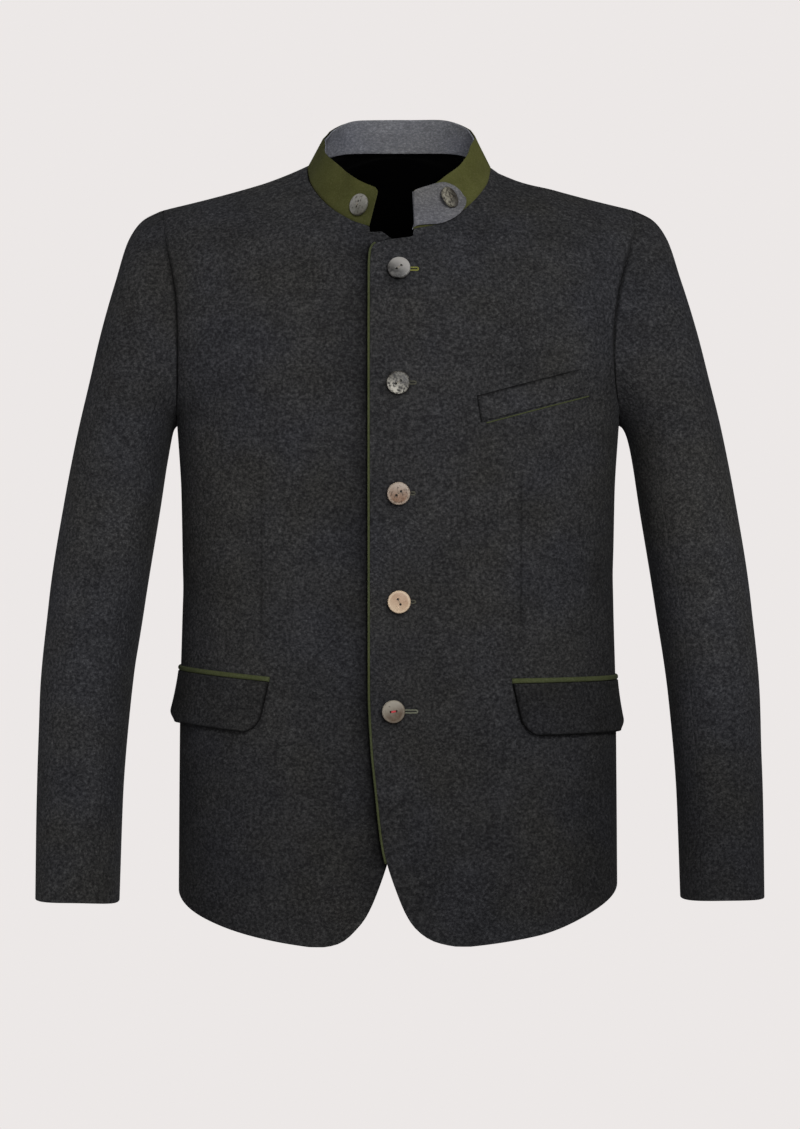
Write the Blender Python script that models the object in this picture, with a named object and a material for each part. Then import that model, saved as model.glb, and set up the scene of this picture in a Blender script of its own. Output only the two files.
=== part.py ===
"""Alpine jacket of grey wool with a green stand collar, filled out as if it were worn.

Lengths are metres. +Z is up, the front faces -Y and the wearer's left is +X.
The origin is the middle of the neck opening, level with the high points of the shoulder seams.
"""

import math

import bmesh
import bpy
import numpy as np

# Cloth thicknesses and the space left at a seam
CLOTH = 0.0020
COLLAR_FELT = 0.0016
COLLAR_LINING = 0.0014
TAB_CLOTH = 0.0016
FLAP_CLOTH = 0.0022
WELT_CLOTH = 0.0018
SEAM = 0.0003
TINY = 1e-9

# Mesh fineness; each band runs from one level to another in a number of rows
FRONT_COLUMNS = 13
FRONT_BANDS = ((0.00, 0.10, 5), (0.10, 0.138, 1), (0.138, 0.62, 8), (0.62, 0.70, 4), (0.70, 0.79, 3),
               (0.79, 0.835, 3))
NECK_STEP = 0.012
NECK_ROWS = (2, 2, 2, 5)
BACK_COLUMNS = 10
BACK_BANDS = ((0.00, 0.62, 10), (0.62, 0.86, 6), (0.86, 1.00, 7))
SLEEVE_RINGS = 17
COLLAR_ROWS = 4
TAB_ROWS = 5
TAB_PLACES = np.array((0, 6, 12, 18, 24, 30, 36, 41, 46, 50.5, 54, 57.3, 59.7, 61.8, 63)) / 1000
FLAP_COLUMNS = 14
FLAP_PARTS = (0.0, 0.35, 0.65, 0.80, 0.91, 0.975, 1.0)
WELT_COLUMNS = 9

# The torso is a stack of rows from the hem (level 0) to the shoulder seam (level 1)
ROUNDNESS = 2.4
UNDERARM = 0.62
SIDE_SEAM_ANGLE = math.radians(104)
SEAM_SWEEP = 0.126
# The hem rises toward the sides sooner than the rows above it
HEM_LIFT = 0.17
HEM_RANGE = 0.14

# Above the chest the rows turn from bowed to straight slopes, which end in the ridge of the shoulder
YOKE_START = 0.66
YOKE_RANGE = 0.26
YOKE_BLUNT = 0.30
RIDGE_START = 0.84
RIDGE_RANGE = 0.14
RIDGE_BLUNT = 0.01
NECK_HOLLOW = 0.5

# Where the torso's outward direction turns up toward the shoulders
OUTWARD_RISE = 0.15
OUTWARD_FROM = -0.25
OUTWARD_RANGE = 0.20

# The right front sinks under the left one
OVERLAP_DROP = 0.0033
OVERLAP_END = 0.026
OVERLAP_RAMP = 0.034

# Collar
NECK_END = {"left": 0.88, "right": 0.90}
COLLAR_END_SLANT = 0.0085
COLLAR_SLANT_RUN = 0.030
COLLAR_CORNER = 0.0045
FELT_TOP = 0.965
TAB_SEAT = 0.0006
NECK_AXIS_Y = -0.008

# Sleeve seams, as parts of the way round from the shoulder over the front
FOREARM_SEAM = 0.35
HINDARM_SEAM = 0.72
SLEEVE_ROUNDNESS = 2.2
CAP_LENGTH = 0.34
CAP_CLEARANCE = 0.0006
CAP_SEAM_FADE = 0.10
SLEEVE_SWAY = 0.0018

# Buttons
BUTTON_RADIUS = 0.0107
BUTTON_THICKNESS = 0.0042
BUTTON_HOLE_RADIUS = 0.0011
BUTTON_HOLE_SPACING = 0.0054
BUTTON_SEGMENTS = 18
BUTTON_HOLE_SEGMENTS = 8
BUTTON_EDGE = 0.0013
BUTTON_SPARE = 0.0002
BUTTON_REACH = 0.004
BUTTON_PART_REACH = 0.1

# Piping
PIPING_RADIUS = 0.0014
PIPING_SIDES = 8
PIPING_TOP_LEVEL = 0.836
PIPING_BOTTOM_LEVEL = 0.137
WELT_PIPING_RADIUS = 0.0008
FLAP_PIPING_HEIGHT = 0.0050
FLAP_PIPING_THICKNESS = 0.0020
FLAP_PIPING_EDGE = 0.7

# Pocket flaps
FLAP_HEIGHT = 0.049
FLAP_SLANT = 0.010
FLAP_FRONT_CORNER = 0.017
FLAP_REAR_CORNER = 0.010
FLAP_LIFT = 0.0016
FLAP_FLARE_FROM = 0.55
FLAP_FLARE_POWER = 1.5
FLAP_LEVEL = 0.31

# Surface properties: linear base colour, roughness
WOOL = ((0.031, 0.031, 0.033), 0.95)
FELT_GREEN = ((0.055, 0.062, 0.019), 0.95)
COLLAR_GREY = ((0.115, 0.118, 0.127), 0.95)
HORN = ((0.46, 0.40, 0.32), 0.40)


def table(names, *rows):
    """Named columns of a short table with one row for each section."""
    return dict(zip(names.split(), np.array(rows).T))


# How far the middle of the front and of the back lie from the side line
DEPTHS = table(
    "level front back",
    (0.00, 0.1170, 0.1210),
    (0.14, 0.1165, 0.1165),
    (0.30, 0.1155, 0.1040),
    (0.44, 0.1150, 0.0920),
    (0.54, 0.1175, 0.0990),
    (0.62, 0.1200, 0.1130),
    (0.70, 0.1180, 0.1180),
    (0.78, 0.1040, 0.0960),
    (0.85, 0.0890, 0.0640),
    (0.88, 0.0855, 0.0555),
    (0.91, 0.0780, 0.0470),
    (0.94, 0.0625, 0.0345),
    (0.97, 0.0370, 0.0185),
    (1.00, 0.0000, 0.0000),
)

# Half width of the torso, place of its widest line and height of the side seam, hem to underarm
GIRTH = table(
    "level half_width side_y seam_z",
    (0.00, 0.2125, 0.0040, -0.6850),
    (0.14, 0.2120, 0.0040, -0.6050),
    (0.30, 0.2110, 0.0040, -0.5050),
    (0.44, 0.2085, 0.0030, -0.4000),
    (0.54, 0.2095, 0.0020, -0.3180),
    (0.62, 0.2140, 0.0000, -0.2425),
)

# Front edge of the left front and its neckline
LEFT_EDGE = table(
    "level x z",
    (0.000, 0.0606, -0.7395),
    (0.030, 0.0310, -0.7345),
    (0.060, 0.0122, -0.7190),
    (0.100, -0.0026, -0.6900),
    (0.150, -0.0112, -0.6500),
    (0.210, -0.0185, -0.6000),
    (0.270, -0.0240, -0.5500),
    (0.330, -0.0262, -0.4990),
    (0.620, -0.0264, -0.2440),
    (0.790, -0.0264, -0.1040),
    (0.815, -0.0256, -0.0890),
    (0.832, -0.0222, -0.0812),
    (0.850, -0.0050, -0.0764),
    (0.868, 0.0140, -0.0728),
    (0.880, 0.0146, -0.0674),
    (0.910, 0.0370, -0.0612),
    (0.940, 0.0610, -0.0465),
    (0.970, 0.0793, -0.0250),
    (0.985, 0.0857, -0.0127),
    (1.000, 0.0882, 0.0000),
)

# Front edge of the right front and its neckline, with x counted toward the wearer's right
RIGHT_EDGE = table(
    "level x z",
    (0.000, 0.0765, -0.7404),
    (0.030, 0.0502, -0.7340),
    (0.060, 0.0325, -0.7165),
    (0.100, 0.0192, -0.6860),
    (0.150, 0.0090, -0.6500),
    (0.210, -0.0040, -0.6000),
    (0.270, -0.0150, -0.5500),
    (0.330, -0.0220, -0.4990),
    (0.620, -0.0240, -0.2440),
    (0.790, -0.0240, -0.1060),
    (0.815, -0.0225, -0.0930),
    (0.832, -0.0180, -0.0845),
    (0.850, -0.0050, -0.0785),
    (0.862, 0.0060, -0.0740),
    (0.876, 0.0185, -0.0660),
    (0.888, 0.0268, -0.0650),
    (0.900, 0.0276, -0.0600),
    (0.920, 0.0450, -0.0552),
    (0.940, 0.0610, -0.0455),
    (0.970, 0.0793, -0.0250),
    (0.985, 0.0857, -0.0127),
    (1.000, 0.0882, 0.0000),
)

# Middle of the back and the back neckline
BACK_NECK = 0.86
BACK_EDGE = table(
    "level x z",
    (0.00, 0.0000, -0.6805),
    (0.14, 0.0000, -0.5990),
    (0.30, 0.0000, -0.4990),
    (0.44, 0.0000, -0.3950),
    (0.54, 0.0000, -0.3080),
    (0.62, 0.0000, -0.2260),
    (0.74, 0.0000, -0.1000),
    (0.860, 0.0000, 0.0220),
    (0.861, 0.0078, 0.0220),
    (0.865, 0.0175, 0.0219),
    (0.870, 0.0248, 0.0218),
    (0.880, 0.0350, 0.0215),
    (0.895, 0.0464, 0.0210),
    (0.910, 0.0545, 0.0200),
    (0.940, 0.0688, 0.0160),
    (0.955, 0.0756, 0.0129),
    (0.970, 0.0822, 0.0088),
    (0.985, 0.0864, 0.0045),
    (1.000, 0.0882, 0.0000),
)

# Armhole edges from the underarm up to the shoulder, with the turn of the torso's surface there
FRONT_ARMHOLE = (
    (0.640, 0.2140, 0.0080, -0.2418, 93.0),
    (0.660, 0.2138, -0.0180, -0.2390, 87.0),
    (0.690, 0.2128, -0.0440, -0.2240, 78.0),
    (0.740, 0.2112, -0.0605, -0.1880, 70.0),
    (0.800, 0.2120, -0.0600, -0.1440, 64.0),
    (0.870, 0.2165, -0.0470, -0.1000, 62.0),
    (0.940, 0.2225, -0.0260, -0.0640, 61.0),
    (0.975, 0.2260, -0.0090, -0.0460, 60.0),
    (1.000, 0.2285, 0.0060, -0.0385, 60.0),
)
BACK_ARMHOLE = (
    (0.650, 0.2065, 0.0520, -0.2290, 70.0),
    (0.700, 0.2060, 0.0660, -0.1920, 64.0),
    (0.770, 0.2090, 0.0670, -0.1450, 58.0),
    (0.850, 0.2150, 0.0560, -0.1010, 55.0),
    (0.930, 0.2220, 0.0340, -0.0640, 56.0),
    (0.970, 0.2258, 0.0180, -0.0460, 58.0),
    (1.000, 0.2285, 0.0060, -0.0385, 60.0),
)

# Left sleeve, ring by ring: its outer and inner points, middle and half depth
SLEEVE = table(
    "level outer_x outer_z inner_x inner_z middle_y half_depth",
    (0.00, 0.2285, -0.0385, 0.2140, -0.2425, 0.004, 0.0640),
    (0.06, 0.2480, -0.0488, 0.2158, -0.2445, 0.004, 0.0660),
    (0.12, 0.2610, -0.0663, 0.2170, -0.2465, 0.004, 0.0675),
    (0.20, 0.2745, -0.1070, 0.2185, -0.2500, 0.004, 0.0690),
    (0.28, 0.2880, -0.1550, 0.2200, -0.2550, 0.004, 0.0700),
    (0.36, 0.3000, -0.2050, 0.2225, -0.2650, 0.004, 0.0705),
    (0.45, 0.3120, -0.2550, 0.2265, -0.2860, 0.005, 0.0705),
    (0.55, 0.3255, -0.3230, 0.2330, -0.3280, 0.007, 0.0700),
    (0.68, 0.3405, -0.4200, 0.2482, -0.4220, 0.007, 0.0670),
    (0.80, 0.3480, -0.5150, 0.2607, -0.5150, -0.005, 0.0620),
    (0.90, 0.3490, -0.6100, 0.2670, -0.6100, -0.022, 0.0575),
    (1.00, 0.3480, -0.7005, 0.2685, -0.7015, -0.042, 0.0540),
)

# Collar lean toward the neck and its height on either side, from the middle back (0) to the front ends (1)
COLLAR = table(
    "level degrees left right",
    (0.00, 19.0, 0.0355, 0.0355),
    (0.20, 22.0, 0.0355, 0.0355),
    (0.42, 29.0, 0.0355, 0.0355),
    (0.65, 27.0, 0.0378, 0.0378),
    (0.80, 24.0, 0.0425, 0.0415),
    (0.92, 15.0, 0.0400, 0.0420),
    (1.00, 7.0, 0.0365, 0.0420),
)

# Collar tab from its fold to its round end: part of the collar height at its lower and upper edge
TAB = table(
    "level low high",
    (0.0000, 0.020, 0.985),
    (0.0240, 0.020, 0.980),
    (0.0325, 0.020, 0.940),
    (0.0425, 0.022, 0.860),
    (0.0487, 0.030, 0.770),
    (0.0554, 0.050, 0.640),
    (0.0587, 0.080, 0.545),
    (0.0616, 0.140, 0.430),
    (0.0630, 0.220, 0.320),
)

# Pocket flaps: front end, ends of the upper edge, rear end as an angle round the torso
FLAP_REAR = math.radians(95)
FLAPS = {
    "left": {"front_x": 0.1070, "front_z": -0.4945, "rear_z": -0.4915, "flare": 0.0040},
    "right": {"front_x": 0.1205, "front_z": -0.4920, "rear_z": -0.4805, "flare": 0.0070},
}

# Chest welt on the left front: lower and upper edge at its two ends
WELT = {"inner_x": 0.0735, "outer_x": 0.1715, "inner_z": -0.2500, "outer_z": -0.2232, "height": 0.0245}
WELT_LEAN = 0.004
WELT_SEAT = 0.0006
WELT_PIPING_SHIFT = 0.005

# Front buttons: sideways place, height and turn of the two holes
FRONT_BUTTONS = table(
    "level x z turn",
    (0, 0.0010, -0.1060, 37.0),
    (1, 0.0004, -0.2136, 32.0),
    (2, 0.0007, -0.3167, 41.0),
    (3, 0.0012, -0.4179, -63.0),
    (4, -0.0041, -0.5201, 8.0),
)

# Collar buttons: distance round the collar from its left end, part of its height, height above the felt
COLLAR_BUTTONS = {
    "left": {"distance": 0.0402, "part": 0.44, "above": TAB_SEAT + TAB_CLOTH + BUTTON_SPARE, "turn": 20.0},
    "right": {"distance": 0.4905, "part": 0.40, "above": 0.0, "turn": 75.0},
}


def read(columns, name, level):
    """Value of a column between its rows, by a cubic that never overshoots them."""
    at = columns["level"]
    value = columns[name]
    step = np.diff(at)
    rise = np.diff(value) / step
    before = 2 * step[1:] + step[:-1]
    after = step[1:] + 2 * step[:-1]
    same_way = rise[:-1] * rise[1:] > 0
    first = np.where(same_way, rise[:-1], 1.0)
    second = np.where(same_way, rise[1:], 1.0)
    middle = np.where(same_way, (before + after) / (before / first + after / second), 0.0)
    slope = np.concatenate([rise[:1], middle, rise[-1:]])
    level = np.clip(level, at[0], at[-1])
    k = np.clip(np.searchsorted(at, level, side="right") - 1, 0, len(at) - 2)
    t = (level - at[k]) / step[k]
    start = value[k] * (1 + 2 * t) * (1 - t) ** 2 + slope[k] * step[k] * t * (1 - t) ** 2
    end = value[k + 1] * t * t * (3 - 2 * t) + slope[k + 1] * step[k] * t * t * (t - 1)
    return start + end


def ease(t):
    """Smooth step from 0 to 1."""
    t = np.clip(t, 0.0, 1.0)
    return t * t * (3 - 2 * t)


def power(value, exponent):
    """Signed power, for rounded-off circles."""
    return np.sign(value) * np.abs(value) ** exponent


def underarm_point(turn):
    """Where the side seam meets the armhole."""
    half_width = read(GIRTH, "half_width", UNDERARM)
    side = read(GIRTH, "side_y", UNDERARM)
    back = read(DEPTHS, "back", UNDERARM)
    x = half_width * math.sin(SIDE_SEAM_ANGLE) ** (2 / ROUNDNESS)
    y = side + (back - side) * abs(math.cos(SIDE_SEAM_ANGLE)) ** (2 / ROUNDNESS)
    return (UNDERARM, float(x), float(y), float(read(GIRTH, "seam_z", UNDERARM)), math.degrees(turn))


ARMHOLES = {
    "front": table("level x y z turn", underarm_point(SIDE_SEAM_ANGLE), *FRONT_ARMHOLE),
    "back": table("level x y z turn", underarm_point(math.pi - SIDE_SEAM_ANGLE), *BACK_ARMHOLE),
}
EDGES = {"left": LEFT_EDGE, "right": RIGHT_EDGE, "back": BACK_EDGE}


def torso_rows(face, level):
    """Middle and far depth, widest line, half width, end angle and end height of the torso rows."""
    front = -read(DEPTHS, "front", level)
    back = read(DEPTHS, "back", level)
    near, far = (front, back) if face == "front" else (back, front)
    hole = ARMHOLES[face]
    below = level <= UNDERARM
    seam_turn = SIDE_SEAM_ANGLE if face == "front" else math.pi - SIDE_SEAM_ANGLE
    turn = np.where(below, seam_turn, np.radians(read(hole, "turn", level)))
    cosine = power(np.cos(turn), 2 / ROUNDNESS)
    toward = np.where(cosine > 0, near, far)
    hole_side = (read(hole, "y", level) - toward * np.abs(cosine)) / (1 - np.abs(cosine))
    hole_width = read(hole, "x", level) / np.sin(turn) ** (2 / ROUNDNESS)
    side = np.where(below, read(GIRTH, "side_y", level), hole_side)
    half_width = np.where(below, read(GIRTH, "half_width", level), hole_width)
    end_z = np.where(below, read(GIRTH, "seam_z", level), read(hole, "z", level))
    return near, far, side, half_width, turn, end_z


def row_rise(level, angle, end_angle):
    """How far a row has gone from its middle height to its end height."""
    straight = ease((level - YOKE_START) / YOKE_RANGE)
    bowed = ((1 - np.cos(angle)) / (1 - np.cos(end_angle))) ** (1 - HEM_LIFT * (1 - ease(level / HEM_RANGE)))
    across = np.abs(np.sin(angle) / np.sin(end_angle)) ** (2 / ROUNDNESS)
    across = across ** (1 - NECK_HOLLOW * ease((level - BACK_NECK) / (1 - BACK_NECK)))
    blunt = RIDGE_BLUNT + YOKE_BLUNT * (1 - ease((level - RIDGE_START) / RIDGE_RANGE))
    sloped = (np.hypot(across, blunt) - blunt) / (np.hypot(1.0, blunt) - blunt)
    return (1 - straight) * bowed + straight * sloped


def edge_angle(face, edge, level):
    """Angle round the torso at which a panel's front edge or neckline lies."""
    half_width = torso_rows(face, level)[3]
    return np.arcsin(power(read(edge, "x", level) / half_width, ROUNDNESS / 2))


def torso(face, edge, level, angle):
    """Points of the torso's outer surface on the wearer's left half."""
    near, far, side, half_width, end_angle, end_z = torso_rows(face, level)
    edge_rise = row_rise(level, edge_angle(face, edge, level), end_angle)
    middle_z = (read(edge, "z", level) - edge_rise * end_z) / (1 - edge_rise)
    cosine = power(np.cos(angle), 2 / ROUNDNESS)
    x = half_width * power(np.sin(angle), 2 / ROUNDNESS)
    y = side + (np.where(cosine > 0, near, far) - side) * np.abs(cosine)
    z = middle_z + (end_z - middle_z) * row_rise(level, angle, end_angle)
    return np.stack(np.broadcast_arrays(x, y, z), axis=-1)


def unit(vectors):
    """Vectors of length one."""
    return vectors / np.linalg.norm(vectors, axis=-1, keepdims=True)


def grid_normals(points, outward):
    """Unit normals of a grid of points, turned to agree with an outward direction."""
    normal = unit(np.cross(np.gradient(points, axis=0), np.gradient(points, axis=1)))
    turn = np.sign(np.sum(normal * outward, axis=-1, keepdims=True))
    return normal * np.where(turn == 0, 1.0, turn)


def torso_outward(points):
    """Rough outward direction of the torso surface, rising toward the shoulders."""
    rise = OUTWARD_RISE * ease((points[..., 2:3] - OUTWARD_FROM) / OUTWARD_RANGE)
    return points * (1, 1, 0) + rise * (0, 0, 1)


def torso_normals(face, edge, level, angle):
    """Unit outward normals of the torso, from small steps along and across its rows."""
    small = 1e-3
    across = torso(face, edge, level, angle + small) - torso(face, edge, level, angle - small)
    upper = np.minimum(level + small, 1.0)
    lower = np.maximum(level - small, 0.0)
    up = torso(face, edge, upper, angle) - torso(face, edge, lower, angle)
    normal = unit(np.cross(across, up))
    outward = torso_outward(torso(face, edge, level, angle))
    return normal * np.sign(np.sum(normal * outward, axis=-1, keepdims=True))


def shoulder_normal(points):
    """Upward normal square to the shoulder seam, shared by front and back to keep their edges parallel."""
    along = points[-1, -1] - points[-1, 0]
    return unit(np.array((-along[2], 0.0, along[0])))


def bands(*parts):
    """Levels of the rows: each part runs from one level to another in a number of steps."""
    runs = [np.linspace(start, stop, steps + 1)[1:] for start, stop, steps in parts]
    return np.concatenate([[parts[0][0]]] + runs)[:, None]


def panel(face, edge, level, columns):
    """Outer points and normals of a torso panel, from its front edge or the middle back to its outer edge."""
    trim = np.where(level <= UNDERARM, SEAM / 2 / SEAM_SWEEP, 0.0)
    start = edge_angle(face, edge, level)
    end = torso_rows(face, level)[4] - trim
    angle = start + (end - start) * np.linspace(0.0, 1.0, columns)[None, :]
    points = torso(face, edge, level, angle)
    normals = torso_normals(face, edge, level, angle)
    normals[-1] = shoulder_normal(points)
    points[-1, :, 1] += (-1 if face == "front" else 1) * SEAM / 2
    return points, normals


def flip(points):
    """Points mirrored to the wearer's other side."""
    return points * np.array((-1.0, 1.0, 1.0))


def material(name, surface):
    """Plain material of a piece."""
    made = bpy.data.materials.new(name)
    made.use_nodes = True
    shader = made.node_tree.nodes["Principled BSDF"]
    shader.inputs["Base Color"].default_value = (*surface[0], 1.0)
    shader.inputs["Roughness"].default_value = surface[1]
    shader.inputs["Metallic"].default_value = 0.0
    return made


def piece(name, vertices, faces, surface):
    """Named object of a mesh."""
    mesh = bpy.data.meshes.new(name)
    mesh.from_pydata([tuple(v) for v in vertices], [], faces)
    mesh.materials.append(material(name, surface))
    made = bpy.data.objects.new(name, mesh)
    bpy.context.scene.collection.objects.link(made)
    return made


def rim(rows, columns):
    """Edges round a grid, as pairs of vertex numbers."""
    number = np.arange(rows * columns).reshape(rows, columns)
    loop = np.concatenate([number[0, :-1], number[:-1, -1], number[-1, :0:-1], number[:0:-1, 0]])
    return list(zip(loop.tolist(), np.roll(loop, -1).tolist()))


def wall(name, outer, inner, surface, mirrored=False):
    """Closed wall between two grids; a mirrored wall stays open along x = 0."""
    rows, columns = outer.shape[:2]
    count = rows * columns
    number = np.arange(count).reshape(rows, columns)
    corners = (number[:-1, :-1], number[:-1, 1:], number[1:, 1:], number[1:, :-1])
    quads = np.stack(corners, axis=-1).reshape(-1, 4)
    halves = np.concatenate([quads[:, (0, 1, 2)], quads[:, (0, 2, 3)]])
    vertices = np.concatenate([outer.reshape(-1, 3), inner.reshape(-1, 3)])
    faces = halves.tolist() + (halves[:, ::-1] + count).tolist()
    for a, b in rim(rows, columns):
        on_middle = mirrored and abs(vertices[a, 0]) + abs(vertices[b, 0]) < TINY
        if not on_middle:
            faces.append([b, a, a + count, b + count])
    first = quads[0]
    normal = np.cross(vertices[first[1]] - vertices[first[0]], vertices[first[3]] - vertices[first[0]])
    if normal @ (outer[0, 0] - inner[0, 0]) < 0:
        faces = [face[::-1] for face in faces]
    made = piece(name, vertices, faces, surface)
    if mirrored:
        mirror = made.modifiers.new("Mirror", "MIRROR")
        mirror.merge_threshold = 1e-5
    return made


def layer(name, points, normals, low, high, surface):
    """Wall that lies on a surface between two heights above it."""
    return wall(name, points + normals * high, points + normals * low, surface)


def front_panel(side):
    """Outer points and normals of a front, still on the wearer's left half."""
    stops = (FRONT_BANDS[-1][1], NECK_END[side] - NECK_STEP, NECK_END[side], NECK_END[side] + NECK_STEP, 1.0)
    level = bands(*FRONT_BANDS, *zip(stops[:-1], stops[1:], NECK_ROWS))
    points, normals = panel("front", EDGES[side], level, FRONT_COLUMNS)
    if side == "right":
        sunk = 1 - ease((points[..., 0:1] - OVERLAP_END) / OVERLAP_RAMP)
        points = points - normals * OVERLAP_DROP * sunk
    return level[:, 0], points, normals


def back_panel():
    """Outer points and normals of the left half of the back."""
    level = bands(*BACK_BANDS)
    points, normals = panel("back", BACK_EDGE, level, BACK_COLUMNS)
    middle = np.abs(points[..., 0]) < TINY
    points[middle, 0] = 0.0
    normals[middle, 0] = 0.0
    return level[:, 0], points, unit(normals)


def make_torso():
    """The two fronts and the back."""
    for side in ("left", "right"):
        level, points, normals = front_panel(side)
        outer, inner = points, points - normals * CLOTH
        if side == "right":
            outer, inner = flip(outer), flip(inner)
        wall(side + "_front", outer, inner, WOOL)
    level, points, normals = back_panel()
    wall("back", points, points - normals * CLOTH, WOOL, mirrored=True)


def armhole_loop():
    """Points round the armhole from the shoulder over the front and under the arm to the back."""
    front_level, front, unused = front_panel("left")
    back_level, back, unused = back_panel()
    front_side = front[front_level >= UNDERARM - TINY, -1][::-1]
    back_side = back[back_level >= UNDERARM - TINY, -1]
    under = (front_side[-1:] + back_side[:1]) / 2
    tip = (front_side[:1] + back_side[-1:]) / 2
    return np.concatenate([tip, front_side[1:-1], under, back_side[1:-1], tip])


def way_along(points):
    """Distance along a chain of points."""
    steps = np.linalg.norm(np.diff(points, axis=0), axis=1)
    return np.concatenate([[0.0], np.cumsum(steps)])


def sleeve_ring(level, around):
    """Plain rounded ring of the sleeve at each level, with a place for each part of the way round."""
    turn = 2 * math.pi * around
    out = power(np.cos(turn), 2 / SLEEVE_ROUNDNESS)
    forward = power(np.sin(turn), 2 / SLEEVE_ROUNDNESS)
    outer_x, inner_x = read(SLEEVE, "outer_x", level), read(SLEEVE, "inner_x", level)
    outer_z, inner_z = read(SLEEVE, "outer_z", level), read(SLEEVE, "inner_z", level)
    x = (outer_x + inner_x) / 2 + (outer_x - inner_x) / 2 * out
    y = read(SLEEVE, "middle_y", level) - read(SLEEVE, "half_depth", level) * forward
    z = (outer_z + inner_z) / 2 + (outer_z - inner_z) / 2 * out
    return np.stack(np.broadcast_arrays(x, y, z), axis=-1)


def sleeve_surface():
    """Rings of the left sleeve: the first follows the armhole, the rest ease into plain rings."""
    loop = armhole_loop()
    around = way_along(loop)
    around = (around / around[-1])[None, :]
    level = np.linspace(0.0, 1.0, SLEEVE_RINGS)[:, None]
    rings = sleeve_ring(level, around)
    fit = (1 - ease(level / CAP_LENGTH))[..., None]
    rings = rings + (loop[None] - rings[:1]) * fit
    top = np.maximum(np.cos(2 * math.pi * around), 0)[..., None]
    start = (1 - ease(level / CAP_SEAM_FADE))[..., None]
    rings = rings + (1, 0, 0) * start * (SEAM + CAP_CLEARANCE * top)
    return around[0], rings


def closed_normals(rings):
    """Normals of closed rings, whose last column repeats the first."""
    wide = np.concatenate([rings[:, -2:-1], rings, rings[:, 1:2]], axis=1)
    centre = rings[:, :-1].mean(axis=1, keepdims=True)
    return grid_normals(wide, wide - centre)[:, 1:-1]


def trimmed(points, fraction):
    """Strip of columns with its two long edges drawn in by half a seam."""
    strip = points.copy()
    strip[:, 0] += unit(points[:, 1] - points[:, 0]) * fraction
    strip[:, -1] += unit(points[:, -2] - points[:, -1]) * fraction
    return strip


def make_sleeves():
    """Top and under sleeve on both sides, hanging a little toward the wearer's left."""
    around, rings = sleeve_surface()
    normals = closed_normals(rings)
    fore = int(np.argmin(np.abs(around - FOREARM_SEAM)))
    hind = int(np.argmin(np.abs(around - HINDARM_SEAM)))
    top = list(range(hind, len(around) - 1)) + list(range(fore + 1))
    under = list(range(fore, hind + 1))
    level = np.linspace(0.0, 1.0, SLEEVE_RINGS)[:, None, None]
    sway = ease((level - CAP_SEAM_FADE) / CAP_LENGTH) * np.array((SLEEVE_SWAY, 0.0, 0.0))
    for name, columns in (("top_sleeve", top), ("under_sleeve", under)):
        outer = trimmed(rings[:, columns], SEAM / 2)
        inner = outer - normals[:, columns] * CLOTH
        wall(name + "_left", outer + sway, inner + sway, WOOL)
        wall(name + "_right", flip(outer) + sway, flip(inner) + sway, WOOL)


def neckline():
    """Points of the neckline from the right collar end round the back to the left collar end."""
    chains = {}
    for side in ("left", "right"):
        level, points, unused = front_panel(side)
        chains[side] = points[level >= NECK_END[side] - TINY, 0]
    level, back, unused = back_panel()
    half = back[level >= BACK_NECK - TINY, 0]
    shoulder = (chains["left"][-1:] + half[-1:]) / 2
    right = np.concatenate([chains["right"][:-1], shoulder])
    left = np.concatenate([shoulder, chains["left"][-2::-1]])
    return np.concatenate([flip(right), flip(half[-2:0:-1]), half[:-1], left])


def collar_surface(top=1.0):
    """Outer surface of the collar: rows from its seam up to a part of its height, columns right to left."""
    base = neckline()
    along = way_along(base)
    middle = along[np.argmax(base[:, 1])]
    spread = np.where(along < middle, (middle - along) / middle, (along - middle) / (along[-1] - middle))
    lean = np.radians(read(COLLAR, "degrees", spread))[None, :, None]
    inward = unit((np.array((0.0, NECK_AXIS_Y, 0.0)) - base) * (1, 1, 0))[None]
    part = np.minimum(np.linspace(0.0, 1.0, COLLAR_ROWS), top)[:, None, None]
    short = np.maximum(COLLAR_CORNER - along, 0.0)
    height = np.where(along < middle, read(COLLAR, "right", spread), read(COLLAR, "left", spread))
    height = height - COLLAR_CORNER + np.sqrt(COLLAR_CORNER ** 2 - short ** 2)
    slope = inward * np.sin(lean) + np.array((0.0, 0.0, 1.0)) * np.cos(lean)
    slant = COLLAR_END_SLANT * part * (1 - ease(along / COLLAR_SLANT_RUN))[None, :, None]
    toward_end = unit(base[0] - base[1])
    seat = base[None] + SEAM * (inward + np.array((0.0, 0.0, 1.0)))
    points = seat + slope * part * height[None, :, None] + toward_end * slant
    normals = grid_normals(points, -inward + 0 * points)
    return along, points, normals


def between(places, values, at):
    """Rows of values read between their places."""
    return np.stack([np.interp(at, places, values[:, k]) for k in range(values.shape[1])], axis=-1)


def collar_at(distance, part):
    """Points of the collar's outer surface at distances from its left end and parts of its height."""
    along, points, unused = collar_surface()
    rows = np.stack([between(along[-1] - along[::-1], row[::-1], distance) for row in points])
    place = np.clip(part * (COLLAR_ROWS - 1), 0, COLLAR_ROWS - 1 - TINY)
    k = place.astype(int)
    t = (place - k)[..., None]
    column = np.arange(distance.size)
    return rows[k, column] * (1 - t) + rows[k + 1, column] * t


def make_collar():
    """Green outer collar, taller grey inner collar and the grey tab folded back over the left end."""
    unused, points, normals = collar_surface(FELT_TOP)
    layer("collar_outer", points, normals, -COLLAR_FELT, 0.0, FELT_GREEN)
    unused, points, normals = collar_surface()
    face = COLLAR_FELT + SEAM
    layer("collar_inner", points, normals, -face - COLLAR_LINING, -face, COLLAR_GREY)
    tab, tab_normals = tab_surface()
    layer("collar_tab", tab, tab_normals, TAB_SEAT, TAB_SEAT + TAB_CLOTH, COLLAR_GREY)


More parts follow.
